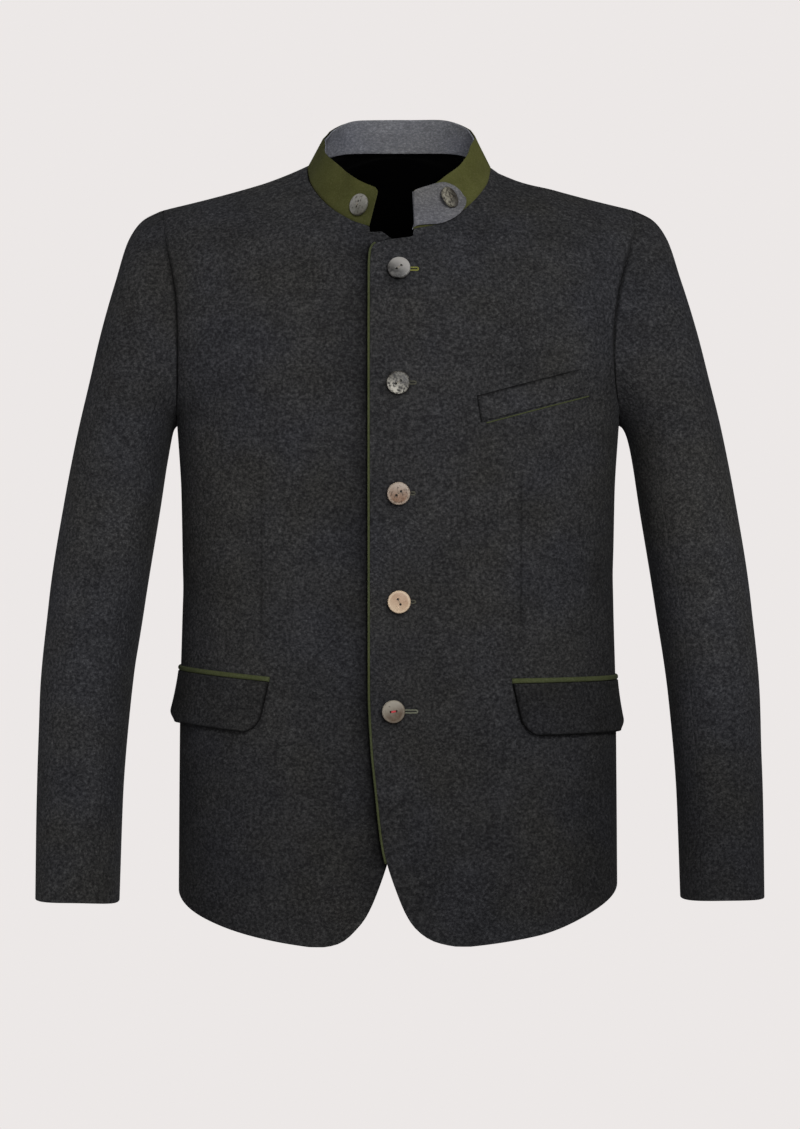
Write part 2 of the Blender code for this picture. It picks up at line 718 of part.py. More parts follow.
def tab_surface():
    """Seat of the tab on the collar: rows across it, columns from its fold to its round end."""
    low = read(TAB, "low", TAB_PLACES)
    high = read(TAB, "high", TAB_PLACES)
    part = np.linspace(0.0, 1.0, TAB_ROWS)[:, None]
    points = np.stack([collar_at(TAB_PLACES, row) for row in low + (high - low) * part])
    outward = (points - np.array((0.0, NECK_AXIS_Y, 0.0))) * (1, 1, 0)
    return points, grid_normals(points, outward)


def level_at(edge, angle_at, z):
    """Level at which the left half of the front reaches a height, found by halving."""
    low = np.zeros(np.shape(z))
    high = np.ones(np.shape(z))
    for unused in range(40):
        level = (low + high) / 2
        under = torso("front", edge, level, angle_at(level))[..., 2] < z
        low = np.where(under, level, low)
        high = np.where(under, high, level)
    return (low + high) / 2


def front_at(edge, x, z):
    """Points of the front at sideways places and heights."""
    def angle_at(level):
        return np.arcsin(np.clip(power(x / torso_rows("front", level)[3], ROUNDNESS / 2), -1, 1))
    x = np.asarray(x, dtype=float) + 0 * np.asarray(z, dtype=float)
    z = np.asarray(z, dtype=float) + 0 * x
    level = level_at(edge, angle_at, z)
    return torso("front", edge, level, angle_at(level))


def corner(down, length, radius):
    """How far a rounded corner draws an edge in, at a distance down that edge."""
    past = np.maximum(down - (length - radius), 0.0)
    return radius - np.sqrt(np.maximum(radius ** 2 - past ** 2, 0.0))


def flap_seat(side, down, round_corners):
    """Points and normals on the front under a flap, at distances down from its upper edge."""
    spec = FLAPS[side]
    edge = EDGES[side]
    part = down / FLAP_HEIGHT
    along = np.linspace(0.0, 1.0, FLAP_COLUMNS)[None, :]
    drawn_in = FLAP_SLANT * part + corner(down, FLAP_HEIGHT, FLAP_FRONT_CORNER)
    first_x = spec["front_x"] + round_corners * drawn_in
    half_width = read(GIRTH, "half_width", FLAP_LEVEL)
    first = np.arcsin((first_x / half_width) ** (ROUNDNESS / 2))
    last = FLAP_REAR - round_corners * corner(down, FLAP_HEIGHT, FLAP_REAR_CORNER) / SEAM_SWEEP
    angle = first + (last - first) * along
    z = spec["front_z"] + (spec["rear_z"] - spec["front_z"]) * along - down
    level = level_at(edge, lambda unused: angle, z)
    return along, torso("front", edge, level, angle), torso_normals("front", edge, level, angle)


def make_flap(side):
    """Pocket flap that stands off a little toward its lower and rear edge, and the piping above it."""
    part = np.array(FLAP_PARTS)[:, None]
    along, seat, normals = flap_seat(side, part * FLAP_HEIGHT, 1.0)
    flare = FLAPS[side]["flare"] * part ** FLAP_FLARE_POWER
    lift = FLAP_LIFT * part ** 2 + flare * ease((along - FLAP_FLARE_FROM) / (1 - FLAP_FLARE_FROM))
    low = (SEAM + lift)[..., None]
    sides = flip if side == "right" else np.array
    wall("pocket_flap_" + side, sides(seat + normals * (low + FLAP_CLOTH)), sides(seat + normals * low), WOOL)
    rise = np.array((1.0, 0.5, 0.0))[:, None]
    along, seat, normals = flap_seat(side, -SEAM - rise * FLAP_PIPING_HEIGHT, 0.0)
    bulge = FLAP_PIPING_EDGE + (1 - FLAP_PIPING_EDGE) * np.sin(math.pi * rise)
    outer = seat + normals * (SEAM + bulge[..., None] * FLAP_PIPING_THICKNESS)
    wall("flap_piping_" + side, sides(outer), sides(seat + normals * SEAM), FELT_GREEN)


def tube(name, path, sideways, outward, radius, surface):
    """Round bar along a path, with two square directions at each of its points."""
    turn = np.arange(PIPING_SIDES) * 2 * math.pi / PIPING_SIDES
    ring = np.cos(turn)[None, :, None] * sideways[:, None] + np.sin(turn)[None, :, None] * outward[:, None]
    points = path[:, None] + radius * ring
    made = bmesh.new()
    rings = [[made.verts.new(tuple(p)) for p in row] for row in points]
    for one, two in zip(rings, rings[1:]):
        for k in range(PIPING_SIDES):
            after = (k + 1) % PIPING_SIDES
            made.faces.new((one[k], one[after], two[after], two[k]))
    made.faces.new(rings[0])
    made.faces.new(rings[-1])
    bmesh.ops.recalc_face_normals(made, faces=made.faces)
    mesh = bpy.data.meshes.new(name)
    made.to_mesh(mesh)
    made.free()
    mesh.materials.append(material(name, surface))
    bpy.context.scene.collection.objects.link(bpy.data.objects.new(name, mesh))


def make_front_piping():
    """Green piping along the front edge of the left front, up round its top corner."""
    level, points, normals = front_panel("left")
    chosen = (level > PIPING_BOTTOM_LEVEL) & (level < PIPING_TOP_LEVEL)
    edge = points[chosen, 0]
    normal = normals[chosen, 0]
    tangent = unit(np.gradient(edge, axis=0))
    sideways = unit(np.cross(tangent, normal))
    inward = points[chosen, 1] - edge
    sideways = sideways * -np.sign(np.sum(sideways * inward, axis=1, keepdims=True))
    path = edge - normal * CLOTH / 2 + sideways * (PIPING_RADIUS + SEAM)
    tube("front_piping", path, sideways, normal, PIPING_RADIUS, FELT_GREEN)


def make_chest_pocket():
    """Slanting welt on the left front with a thin green piping under it."""
    along = np.linspace(0.0, 1.0, WELT_COLUMNS)[None, :]
    part = np.linspace(0.0, 1.0, 3)[:, None]
    x = WELT["inner_x"] + (WELT["outer_x"] - WELT["inner_x"]) * along + WELT_LEAN * (1 - part)
    low_z = WELT["inner_z"] + (WELT["outer_z"] - WELT["inner_z"]) * along
    seat = front_at(LEFT_EDGE, x, low_z + WELT["height"] * part)
    normals = grid_normals(seat, torso_outward(seat))
    layer("chest_welt", seat, normals, WELT_SEAT, WELT_SEAT + WELT_CLOTH, WOOL)
    below = WELT_PIPING_RADIUS + SEAM
    path = front_at(LEFT_EDGE, x[0] + WELT_PIPING_SHIFT, low_z[0] - below)
    outward = normals[0]
    upward = unit(np.cross(outward, unit(np.gradient(path, axis=0))))
    path = path + outward * (WELT_SEAT + WELT_PIPING_RADIUS)
    tube("chest_piping", path, upward, outward, WELT_PIPING_RADIUS, FELT_GREEN)


def button_mesh():
    """Round horn button lying on z = 0, with two holes."""
    shape = bmesh.new()
    bmesh.ops.create_cone(
        shape, cap_ends=True, segments=BUTTON_SEGMENTS, radius1=BUTTON_RADIUS, radius2=BUTTON_RADIUS,
        depth=BUTTON_THICKNESS)
    bmesh.ops.translate(shape, verts=shape.verts, vec=(0, 0, BUTTON_THICKNESS / 2))
    rims = [edge for edge in shape.edges if abs(edge.verts[0].co.z - edge.verts[1].co.z) < 1e-6]
    bmesh.ops.bevel(shape, geom=rims, offset=BUTTON_EDGE, segments=2, profile=0.5, affect="EDGES")
    button = bpy.data.objects.new("button", bpy.data.meshes.new("button"))
    shape.to_mesh(button.data)
    shape.free()
    bpy.context.scene.collection.objects.link(button)
    holes = bmesh.new()
    for way in (-0.5, 0.5):
        made = bmesh.ops.create_cone(
            holes, cap_ends=True, segments=BUTTON_HOLE_SEGMENTS, depth=BUTTON_THICKNESS * 3,
            radius1=BUTTON_HOLE_RADIUS, radius2=BUTTON_HOLE_RADIUS)
        bmesh.ops.translate(holes, verts=made["verts"], vec=(way * BUTTON_HOLE_SPACING, 0, 0))
    cutter = bpy.data.objects.new("holes", bpy.data.meshes.new("holes"))
    holes.to_mesh(cutter.data)
    holes.free()
    bpy.context.scene.collection.objects.link(cutter)
    cut = button.modifiers.new("Holes", "BOOLEAN")
    cut.operation = "DIFFERENCE"
    cut.solver = "EXACT"
    cut.object = cutter
    bpy.context.view_layer.update()
    finished = bpy.data.meshes.new_from_object(button.evaluated_get(bpy.context.evaluated_depsgraph_get()))
    bpy.data.objects.remove(button)
    bpy.data.objects.remove(cutter)
    return finished


def place_button(name, shape, seat, normal, turn):
    """Button set on a seat, facing along a normal, with its holes turned from level."""
    level_way = unit(np.cross((0.0, 0.0, 1.0), normal))
    up_way = np.cross(normal, level_way)
    across = math.cos(turn) * level_way + math.sin(turn) * up_way
    frame = np.stack([across, np.cross(normal, across), normal])
    mesh = shape.copy()
    mesh.name = name
    flat = np.empty(len(mesh.vertices) * 3)
    mesh.vertices.foreach_get("co", flat)
    mesh.vertices.foreach_set("co", (flat.reshape(-1, 3) @ frame + seat + normal * SEAM).ravel())
    mesh.materials.clear()
    mesh.materials.append(material(name, HORN))
    bpy.context.scene.collection.objects.link(bpy.data.objects.new(name, mesh))


def make_buttons():
    """Five buttons down the front, one on the right collar end and one on the tab."""
    shape = button_mesh()
    around = np.array((-1.0, 0.0, 1.0))
    for k in range(len(FRONT_BUTTONS["level"])):
        x = FRONT_BUTTONS["x"][k] + BUTTON_REACH * around
        z = FRONT_BUTTONS["z"][k] + BUTTON_REACH * around
        near = front_at(LEFT_EDGE, x[None, :], z[:, None])
        normal = grid_normals(near, torso_outward(near))[1, 1]
        turn = math.radians(FRONT_BUTTONS["turn"][k])
        place_button("front_button_%d" % (k + 1), shape, near[1, 1], normal, turn)
    for side, spec in COLLAR_BUTTONS.items():
        distance = spec["distance"] + BUTTON_REACH * around
        parts = spec["part"] + BUTTON_PART_REACH * around
        near = np.stack([collar_at(distance, np.full(distance.size, part)) for part in parts])
        normal = grid_normals(near, (near - np.array((0.0, NECK_AXIS_Y, 0.0))) * (1, 1, 0))[1, 1]
        seat = near[1, 1] + normal * spec["above"]
        place_button("collar_button_" + side, shape, seat, normal, math.radians(spec["turn"]))


for old in list(bpy.data.objects):
    bpy.data.objects.remove(old)
make_torso()
make_sleeves()
make_collar()
for flap_side in FLAPS:
    make_flap(flap_side)
make_front_piping()
make_chest_pocket()
make_buttons()
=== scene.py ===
# %% [markdown]
# # An alpine jacket from numpy surfaces
#
# A jacket is a set of cloth panels, pressed and sewn until they stand round a body.
# This lesson builds each panel as a grid of points, worked out with whole numpy arrays, and closes it to
# a thin shell. Lengths are metres, +Z is up, the front faces -Y and the wearer's left is +X.
#
# The first cell loads the measured CAD part. Its nodes stay where they are: the cloth, the piping and the
# buttons made later stand in for them, and thread is added.

# %% Load the measured part
import math

import bpy
import numpy as np
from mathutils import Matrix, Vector


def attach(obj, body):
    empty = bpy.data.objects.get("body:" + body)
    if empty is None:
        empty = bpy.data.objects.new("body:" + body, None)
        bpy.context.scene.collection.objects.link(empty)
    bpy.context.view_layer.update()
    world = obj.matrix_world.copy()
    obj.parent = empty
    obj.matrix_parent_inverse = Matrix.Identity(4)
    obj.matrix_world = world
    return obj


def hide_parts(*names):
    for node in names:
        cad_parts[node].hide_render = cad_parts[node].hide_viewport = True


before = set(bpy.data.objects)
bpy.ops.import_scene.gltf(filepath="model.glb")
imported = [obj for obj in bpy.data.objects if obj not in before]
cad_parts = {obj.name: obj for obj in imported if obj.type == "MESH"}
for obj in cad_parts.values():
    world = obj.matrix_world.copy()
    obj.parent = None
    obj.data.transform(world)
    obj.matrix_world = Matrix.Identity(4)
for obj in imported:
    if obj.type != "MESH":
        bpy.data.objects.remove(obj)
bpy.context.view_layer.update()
print("CAD nodes loaded:", len(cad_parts))

# %% [markdown]
# ## Camera, room and light
#
# The photograph was taken level with the middle of the jacket, from a few metres away.
# One of its pixels covers 0.97 mm at the jacket's middle, which gives the focal length.
# The backdrop is pale, but lights the cloth only faintly; large soft lamps in front and behind give it form.

# %% Set up the studio
PIXEL, PICTURE_HEIGHT = 0.97e-3, 1129
DISTANCE, CAMERA_X, CAMERA_Z = 3.0, 0.00194, -0.383
ROOM_LIGHT, ROOM_STRENGTH = (0.90, 0.90, 0.92, 1.0), 0.22
BACKDROP = (0.840, 0.807, 0.799, 1.0)
scene = bpy.context.scene
scene.view_settings.view_transform = "Standard"

camera = bpy.data.objects.new("camera", bpy.data.cameras.new("camera"))
camera.location = (CAMERA_X, -DISTANCE, CAMERA_Z)
camera.rotation_euler = (math.pi / 2, 0.0, 0.0)
camera.data.lens = camera.data.sensor_width * DISTANCE / (PICTURE_HEIGHT * PIXEL)
scene.collection.objects.link(camera)
scene.camera = camera

studio = bpy.data.worlds.new("studio")
studio.use_nodes = True
nodes, links = studio.node_tree.nodes, studio.node_tree.links
nodes["Background"].inputs["Color"].default_value = ROOM_LIGHT
nodes["Background"].inputs["Strength"].default_value = ROOM_STRENGTH
backdrop, seen, choice = (nodes.new("ShaderNode" + kind) for kind in ("Background", "LightPath", "MixShader"))
backdrop.inputs["Color"].default_value = BACKDROP
links.new(seen.outputs["Is Camera Ray"], choice.inputs[0])
links.new(nodes["Background"].outputs[0], choice.inputs[1])
links.new(backdrop.outputs[0], choice.inputs[2])
links.new(choice.outputs[0], nodes["World Output"].inputs[0])
scene.world = studio


def lamp(name, place, aim, size, watts, spread=180.0):
    """Square soft lamp at a place, turned toward a point, with a beam of a spread in degrees."""
    light = bpy.data.lights.new(name, "AREA")
    light.size = size
    light.energy = watts
    light.spread = math.radians(spread)
    made = bpy.data.objects.new(name, light)
    made.location = place
    made.rotation_euler = (Vector(aim) - Vector(place)).to_track_quat("-Z", "Y").to_euler()
    scene.collection.objects.link(made)


lamp("key", (0.65, -2.2, 0.50), (0.0, 0.0, -0.24), 0.8, 7.5, 85.0)
lamp("fill", (-0.55, -2.7, 0.15), (0.0, 0.0, -0.22), 1.4, 5.0, 110.0)
lamp("back", (0.3, 2.5, 0.80), (0.0, 0.0, -0.30), 1.4, 46.0)
lamp("left_side", (2.6, 0.5, 0.30), (0.3, 0.0, -0.30), 1.2, 10.0)
lamp("right_side", (-2.6, 0.2, 0.30), (-0.3, 0.0, -0.30), 1.2, 14.0)
print("Camera lens in mm:", round(camera.data.lens, 1))

# %% [markdown]
# ## Curves through short tables
#
# A tailor writes down a few measures and draws a smooth line through them.
# `read` does the same: it runs a cubic through the rows of a table that never overshoots them.
# Two curves serve all through the lesson: `ramp` rises smoothly from 0 to 1, and `bell` falls off on both
# sides of its middle.

# %% Curve helpers
TINY = 1e-9
ASIDE, UP, FLAT = (np.array(way, dtype=float) for way in ((1, 0, 0), (0, 0, 1), (1, 1, 0)))
MIRROR = {"left": np.array((1.0, 1.0, 1.0)), "right": np.array((-1.0, 1.0, 1.0))}


def table(names, *rows):
    """Named columns of a short table with one row for each section."""
    return dict(zip(names.split(), np.array(rows, dtype=float).T))


def read(columns, name, level):
    """Value of a column between its rows: cubics whose slope at a row is the harmonic mean of both sides'."""
    at, value = columns["level"], columns[name]
    step = np.diff(at)
    rise = np.diff(value) / step
    before, after = 2 * step[1:] + step[:-1], step[1:] + 2 * step[:-1]
    same_way = rise[:-1] * rise[1:] > 0
    first, second = np.where(same_way, rise[:-1], 1.0), np.where(same_way, rise[1:], 1.0)
    middle = np.where(same_way, (before + after) / (before / first + after / second), 0.0)
    slope = np.concatenate([rise[:1], middle, rise[-1:]])
    level = np.clip(level, at[0], at[-1])
    k = np.clip(np.searchsorted(at, level, side="right") - 1, 0, len(at) - 2)
    t = (level - at[k]) / step[k]
    start = value[k] * (1 + 2 * t) * (1 - t) ** 2 + slope[k] * step[k] * t * (1 - t) ** 2
    return start + value[k + 1] * t * t * (3 - 2 * t) + slope[k + 1] * step[k] * t * t * (t - 1)


def ease(t):
    """Smooth step from 0 to 1: 3 t squared less 2 t cubed."""
    t = np.clip(t, 0.0, 1.0)
    return t * t * (3 - 2 * t)


def ramp(value, start, run):
    """Smooth step of a value: 0 up to a start, 1 after a run from there."""
    return ease((value - start) / run)


def bell(away, width):
    """Bell curve: e to the power of less the square of a distance over a width."""
    return np.exp(-(away / width) ** 2)


def power(value, exponent):
    """Power that keeps the sign, for rounded-off circles."""
    return np.sign(value) * np.abs(value) ** exponent


def unit(vectors):
    """Vectors of length one."""
    return vectors / np.linalg.norm(vectors, axis=-1, keepdims=True)


print("A read half way through a table:", float(read(table("level v", (0, 0), (1, 1), (2, 4)), "v", 1.5)))

# %% [markdown]
# ## Cloth and felt
#
# The jacket's cloth is a fulled wool: dark and pale fibres are carded together, woven and then felted until
# the weave is gone. So its colour is a soft salt-and-pepper fleck, a millimetre or two across, with slow
# clouds in it. A bump of the same fleck and a little sheen give the nap. Painted shade darkens it along
# seams, under edges, round buttons and down the body, and the inside is painted black as deep shade. Both are
# numbers that each vertex carries.

# %% Shader helpers
def colour(red, green, blue):
    """Linear colour of an 8-bit screen colour."""
    return tuple((value / 255) ** 2.2 for value in (red, green, blue)) + (1.0,)


def give(tree, socket, value):
    """Sets a socket to a value, or links it to another node's output."""
    if isinstance(value, bpy.types.NodeSocket):
        tree.links.new(value, socket)
    else:
        socket.default_value = value


def add(tree, kind, settings=(), **sockets):
    """Shader node with its settings, and with its sockets given by name."""
    made = tree.nodes.new("ShaderNode" + kind)
    for name, value in settings:
        setattr(made, name, value)
    for name, value in sockets.items():
        give(tree, made.inputs[name.replace("_", " ")], value)
    return made


def mix(tree, factor, first, second, blend="MIX"):
    """Colour between two colours by a factor."""
    made = add(tree, "Mix", [("data_type", "RGBA"), ("blend_type", blend)])
    for k, value in ((0, factor), (6, first), (7, second)):
        give(tree, made.inputs[k], value)
    return made.outputs[2]


def times(tree, first, second):
    """Product of two nodes' values."""
    made = add(tree, "Math", [("operation", "MULTIPLY")])
    for k, value in enumerate((first, second)):
        give(tree, made.inputs[k], value)
    return made.outputs[0]


def carried(tree, name):
    """Number that each vertex carries under a name."""
    return add(tree, "Attribute", [("attribute_name", name)]).outputs["Fac"]


def noise(tree, place, scale, low, high, detail=2.0, to_low=0.0, to_high=1.0, rough=0.55):
    """Cloudy pattern of a scale in cycles a metre, stretched from the values low and high."""
    made = add(tree, "TexNoise", Vector=place, Scale=scale, Detail=detail, Roughness=rough)
    return add(tree, "MapRange", Value=made.outputs[0], From_Min=low, From_Max=high,
               To_Min=to_low, To_Max=to_high).outputs[0]


def fresh(name, roughness, **sockets):
    """New material with its tree, its shader and the places of the surface in metres."""
    made = bpy.data.materials.new(name)
    made.use_nodes = True
    shader = made.node_tree.nodes["Principled BSDF"]
    for key, value in {"Roughness": roughness, **sockets}.items():
        shader.inputs[key.replace("_", " ")].default_value = value
    return made, made.node_tree, shader, add(made.node_tree, "TexCoord").outputs["Object"]


def coat(tree, shader, tone, height, strength, distance):
    """Gives a shader its colour and the bump of a height."""
    tree.links.new(tone, shader.inputs["Base Color"])
    bump = add(tree, "Bump", Strength=strength, Distance=distance, Height=height)
    tree.links.new(bump.outputs[0], shader.inputs["Normal"])


print("White in linear colour:", colour(255, 255, 255))

# %% Cloth materials
COOL, WARM = (0.97, 0.98, 1.06, 1.0), (1.03, 1.01, 0.96, 1.0)
# Painted shade: the cloth is darkened toward near-black where it carries painted shade, and its inside faces
# are painted black
PAINTED_SHADE_TONE, INSIDE_SHADE_TONE = (0.003, 0.003, 0.003, 1.0), (0.0006, 0.0006, 0.0007, 1.0)
WOOL_GRAIN = {"fleck": 330.0, "cloud": 30.0, "stretch": (1.0, 1.0, 1.15), "bump": 0.5}
FELT_GRAIN = {"fleck": 600.0, "cloud": 45.0, "stretch": (1.0, 1.0, 1.0), "bump": 0.25}
COLLAR_GRAIN = {"fleck": 420.0, "cloud": 40.0, "stretch": (0.8, 0.8, 1.5), "bump": 0.35}


def cloth(name, dark, pale, fleck, cloud, stretch, bump):
    """Felted cloth: squared noise sets pale flecks on a dark ground; clouds tint it, painted shade darkens
    it.
    """
    made, tree, shader, place = fresh(
        name, 0.95, Specular_IOR_Level=0.0, Sheen_Weight=0.02, Sheen_Roughness=0.5)
    place = add(tree, "Mapping", Vector=place, Scale=stretch).outputs[0]
    grains = noise(tree, place, fleck, low=0.24, high=0.78, rough=0.80)
    mixed = mix(tree, times(tree, grains, grains), colour(*dark), colour(*pale))
    clouds = noise(tree, place, cloud, low=0.3, high=0.7, detail=3.0, to_low=0.88, to_high=1.12)
    drift = mix(tree, noise(tree, place, 9.0, low=0.35, high=0.65), COOL, WARM)
    for slow in (clouds, drift):
        mixed = mix(tree, 1.0, mixed, slow, "MULTIPLY")
    for share, tone in (("hollow", PAINTED_SHADE_TONE), ("inside", INSIDE_SHADE_TONE)):
        mixed = mix(tree, carried(tree, share), mixed, tone)
    coat(tree, shader, mixed, grains, strength=bump, distance=0.0006)
    return made


WOOL = cloth("grey_wool", (39, 39, 40), (84, 84, 84), **WOOL_GRAIN)
FELT = cloth("olive_felt", (74, 76, 43), (92, 91, 61), **FELT_GRAIN)
PIPING = cloth("piping_felt", (64, 69, 46), (86, 90, 67), **FELT_GRAIN)
# The tab and the collar's inside are one grey cloth; the collar's copy is painted lighter, as painted light,
# because it stands in shade
TAB_WOOL = cloth("tab_wool", (81, 81, 82), (128, 127, 127), **COLLAR_GRAIN)
LINING_PAINTED_LIGHT = cloth("collar_wool_painted_light", (97, 98, 101), (149, 150, 154), **COLLAR_GRAIN)
print("Cloths:", WOOL.name, FELT.name, PIPING.name, TAB_WOOL.name, LINING_PAINTED_LIGHT.name)

# %% [markdown]
# ## From a grid to a thin shell
#
# Cloth has two faces and a soft edge. `shell` takes a grid of points with outward normals, moves one copy out
# and one in, and lets both meet at the border in a half circle, so that no edge is sharp and nothing is open.
# The border rows lie close together for that, which `close_rows` sees to.
# `bar` carries a ring along a path, for piping and thread.

# %% Grid helpers
# Steps of a quarter circle seen from its side: 1 less the cosines of 0, 30 and 60 degrees
ROUND = np.array((0.0, 0.134, 0.5))


def close_rows(inner, first, last):
    """Even rows with three more at each end, spaced as a quarter circle is seen from its side."""
    start, stop = inner[0], inner[-1]
    head = np.concatenate([start + ROUND * first, [start + first]])
    tail = np.concatenate([[stop - last], stop - ROUND[::-1] * last])
    return np.concatenate([head, inner[1:-1], tail])


def bands(*parts):
    """Levels of the rows: each part runs from one level to another in a number of steps."""
    runs = [np.linspace(start, stop, steps + 1)[1:] for start, stop, steps in parts]
    return np.concatenate([[parts[0][0]]] + runs)


def ways(points, axis):
    """Distance along each line of a grid: the running sum of the steps between neighbours."""
    steps = np.linalg.norm(np.diff(points, axis=axis), axis=-1)
    return np.insert(np.cumsum(steps, axis=axis), 0, 0.0, axis=axis)


def way_along(points):
    """Distance along a chain of points, as a share of its length."""
    way = ways(points, 0)
    return way / way[-1]


def chain_at(places, points, at):
    """Points read between the places of a chain."""
    return np.stack([np.interp(at, places, points[:, k]) for k in range(3)], axis=-1)


def edge_distance(points):
    """Distance of each grid point from the nearest border, along the grid's own lines."""
    down, across = ways(points, 0), ways(points, 1)
    return np.minimum.reduce([down, down[-1:] - down, across, across[:, -1:] - across])


def grid_normals(points, outward):
    """Unit normals of a grid: cross products of its two directions, turned to agree with an outward one."""
    normal = unit(np.cross(np.gradient(points, axis=0), np.gradient(points, axis=1)))
    turn = np.sign(np.sum(normal * outward, axis=-1, keepdims=True))
    return normal * np.where(turn == 0, 1.0, turn)


def across_path(path, out):
    """Directions across a path: the cross product of its tangent and its normal."""
    return unit(np.cross(unit(np.gradient(path, axis=0)), out))


print("Rows of a short strip:", close_rows(np.linspace(0, 1, 5), 0.1, 0.1).round(3).tolist())

# %% Mesh helpers
def quads(number):
    """Four corners of each cell of a grid of vertex numbers."""
    corners = (number[:-1, :-1], number[:-1, 1:], number[1:, 1:], number[1:, :-1])
    return np.stack(corners, axis=-1).reshape(-1, 4)


def ring_numbers(rings, sides):
    """Vertex numbers of a stack of rings, with each ring's first vertex again at its end."""
    number = np.arange(rings * sides).reshape(rings, sides)
    return np.concatenate([number, number[:, :1]], axis=1)


def mesh_object(name, vertices, faces, surface, uv=None, **attributes):
    """Smooth object of a mesh, with one UV place a vertex and any further numbers a vertex."""
    mesh = bpy.data.meshes.new(name)
    mesh.from_pydata(vertices.tolist(), [], faces)
    mesh.shade_smooth()
    if uv is not None:
        corner = np.empty(len(mesh.loops), dtype=np.int32)
        mesh.loops.foreach_get("vertex_index", corner)
        mesh.uv_layers.new(name="UVMap").data.foreach_set("uv", uv[corner].ravel().astype(np.float32))
    for key, values in attributes.items():
        mesh.attributes.new(key, "FLOAT", "POINT").data.foreach_set("value", values.astype(np.float32))
    mesh.materials.append(surface)
    made = bpy.data.objects.new(name, mesh)
    scene.collection.objects.link(made)
    return made


def shell(name, points, normals, low, high, surface, shade_inside=True, hollow=0.0):
    """Closed thin wall between two heights above a grid; near the border both faces meet in a half circle."""
    rows, columns = points.shape[:2]
    low, high, hollow = (np.broadcast_to(value, (rows, columns)) for value in (low, high, hollow))
    half = (high - low) / 2
    past = np.clip(1 - edge_distance(points) / half.max(), 0.0, 1.0)
    bulge = normals * (half * np.sqrt(1 - past ** 2))[..., None]
    middle = points + normals * ((low + high) / 2)[..., None]
    count = rows * columns
    number = np.arange(count).reshape(rows, columns)
    under = number.copy()
    under[1:-1, 1:-1] = count + np.arange((rows - 2) * (columns - 2)).reshape(rows - 2, columns - 2)
    face, back = quads(number), quads(under)[:, ::-1]
    way = np.cross(np.gradient(points, axis=1), np.gradient(points, axis=0))
    if np.sum(way * normals) < 0:
        face, back = face[:, ::-1], back[:, ::-1]
    core = (slice(1, -1), slice(1, -1))
    vertices = np.concatenate([(middle + bulge).reshape(-1, 3), (middle - bulge)[core].reshape(-1, 3)])
    flat = np.stack([ways(points, 1), ways(points, 0)], axis=-1)
    uv = np.concatenate([flat.reshape(-1, 2), flat[core].reshape(-1, 2)])
    # Inner faces carry a share that paints them black, as painted shade inside the jacket
    inside = np.zeros(len(vertices))
    inside[count:] = 1.0 if shade_inside else 0.0
    hollow = np.concatenate([hollow.ravel(), hollow[core].ravel()])
    faces = face.tolist() + back.tolist()
    return mesh_object(name, vertices, faces, surface, uv, inside=inside, hollow=hollow)


def bar(name, path, sideways, outward, wide, high, sides, surface, closed=False):
    """Oval bar: a ring, wide by high, carried along a path and capped at its ends, or joined to a loop."""
    turn = np.arange(sides) * 2 * math.pi / sides
    wide, high = (np.broadcast_to(size, len(path))[:, None, None] for size in (wide, high))
    across, over = np.cos(turn)[None, :, None], np.sin(turn)[None, :, None]
    points = path[:, None] + (wide * across * sideways[:, None] + high * over * outward[:, None])
    number = ring_numbers(len(path), sides)
    ends = [number[0, :-1][::-1].tolist(), number[-1, :-1].tolist()]
    if closed:
        number, ends = np.concatenate([number, number[:1]]), []
    faces = quads(number).tolist() + ends
    if np.cross(sideways[0], outward[0]) @ (path[1] - path[0]) < 0:
        faces = [face[::-1] for face in faces]
    way = np.repeat(ways(path, 0)[:, None], sides, axis=1)
    uv = np.stack(np.broadcast_arrays(way, turn[None] / (2 * math.pi)), axis=-1).reshape(-1, 2)
    return mesh_object(name, points.reshape(-1, 3), faces, surface, uv)


def dress(made, slot, *nodes):
    """Sets a piece on the CAD body, in the place of the CAD nodes that it stands for."""
    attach(made, "root")
    if nodes:
        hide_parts(*nodes)
    return made


print("Faces of a small ring stack:", len(quads(ring_numbers(3, 8))))

# %% [markdown]
# ## The measures of the body
#
# The two fronts and the back lie on one surface, a stack of rows from the hem (level 0) to the shoulder
# seam (level 1). Below the underarm a row is a rounded-off oval; above it the rows open at the armhole.
# The tables are the CAD part's measures, so that the cloth keeps its form. Only the lower part of the front
# edges is drawn anew, a few millimetres away, and `ARMHOLE_SHIFT` moves the armhole seams a little sideways.

# %% Torso measures
CLOTH = 0.0020
ROUNDNESS = 2.4
UNDERARM, BACK_NECK = 0.62, 0.86
SIDE_SEAM_ANGLE = math.radians(104)

DEPTHS = table(
    "level front back", (0.00, 0.1170, 0.1210), (0.14, 0.1165, 0.1165), (0.30, 0.1155, 0.1040),
    (0.44, 0.1150, 0.0920), (0.54, 0.1175, 0.0990), (0.62, 0.1200, 0.1130), (0.70, 0.1180, 0.1180),
    (0.78, 0.1040, 0.0960), (0.85, 0.0890, 0.0640), (0.88, 0.0855, 0.0555), (0.91, 0.0780, 0.0470),
    (0.94, 0.0625, 0.0345), (0.97, 0.0370, 0.0185), (1.00, 0.0000, 0.0000))
GIRTH = table(
    "level half_width side_y seam_z", (0.00, 0.2125, 0.0040, -0.6850), (0.14, 0.2120, 0.0040, -0.6050),
    (0.30, 0.2110, 0.0040, -0.5050), (0.44, 0.2085, 0.0030, -0.4000), (0.54, 0.2095, 0.0020, -0.3180),
    (0.62, 0.2140, 0.0000, -0.2425))
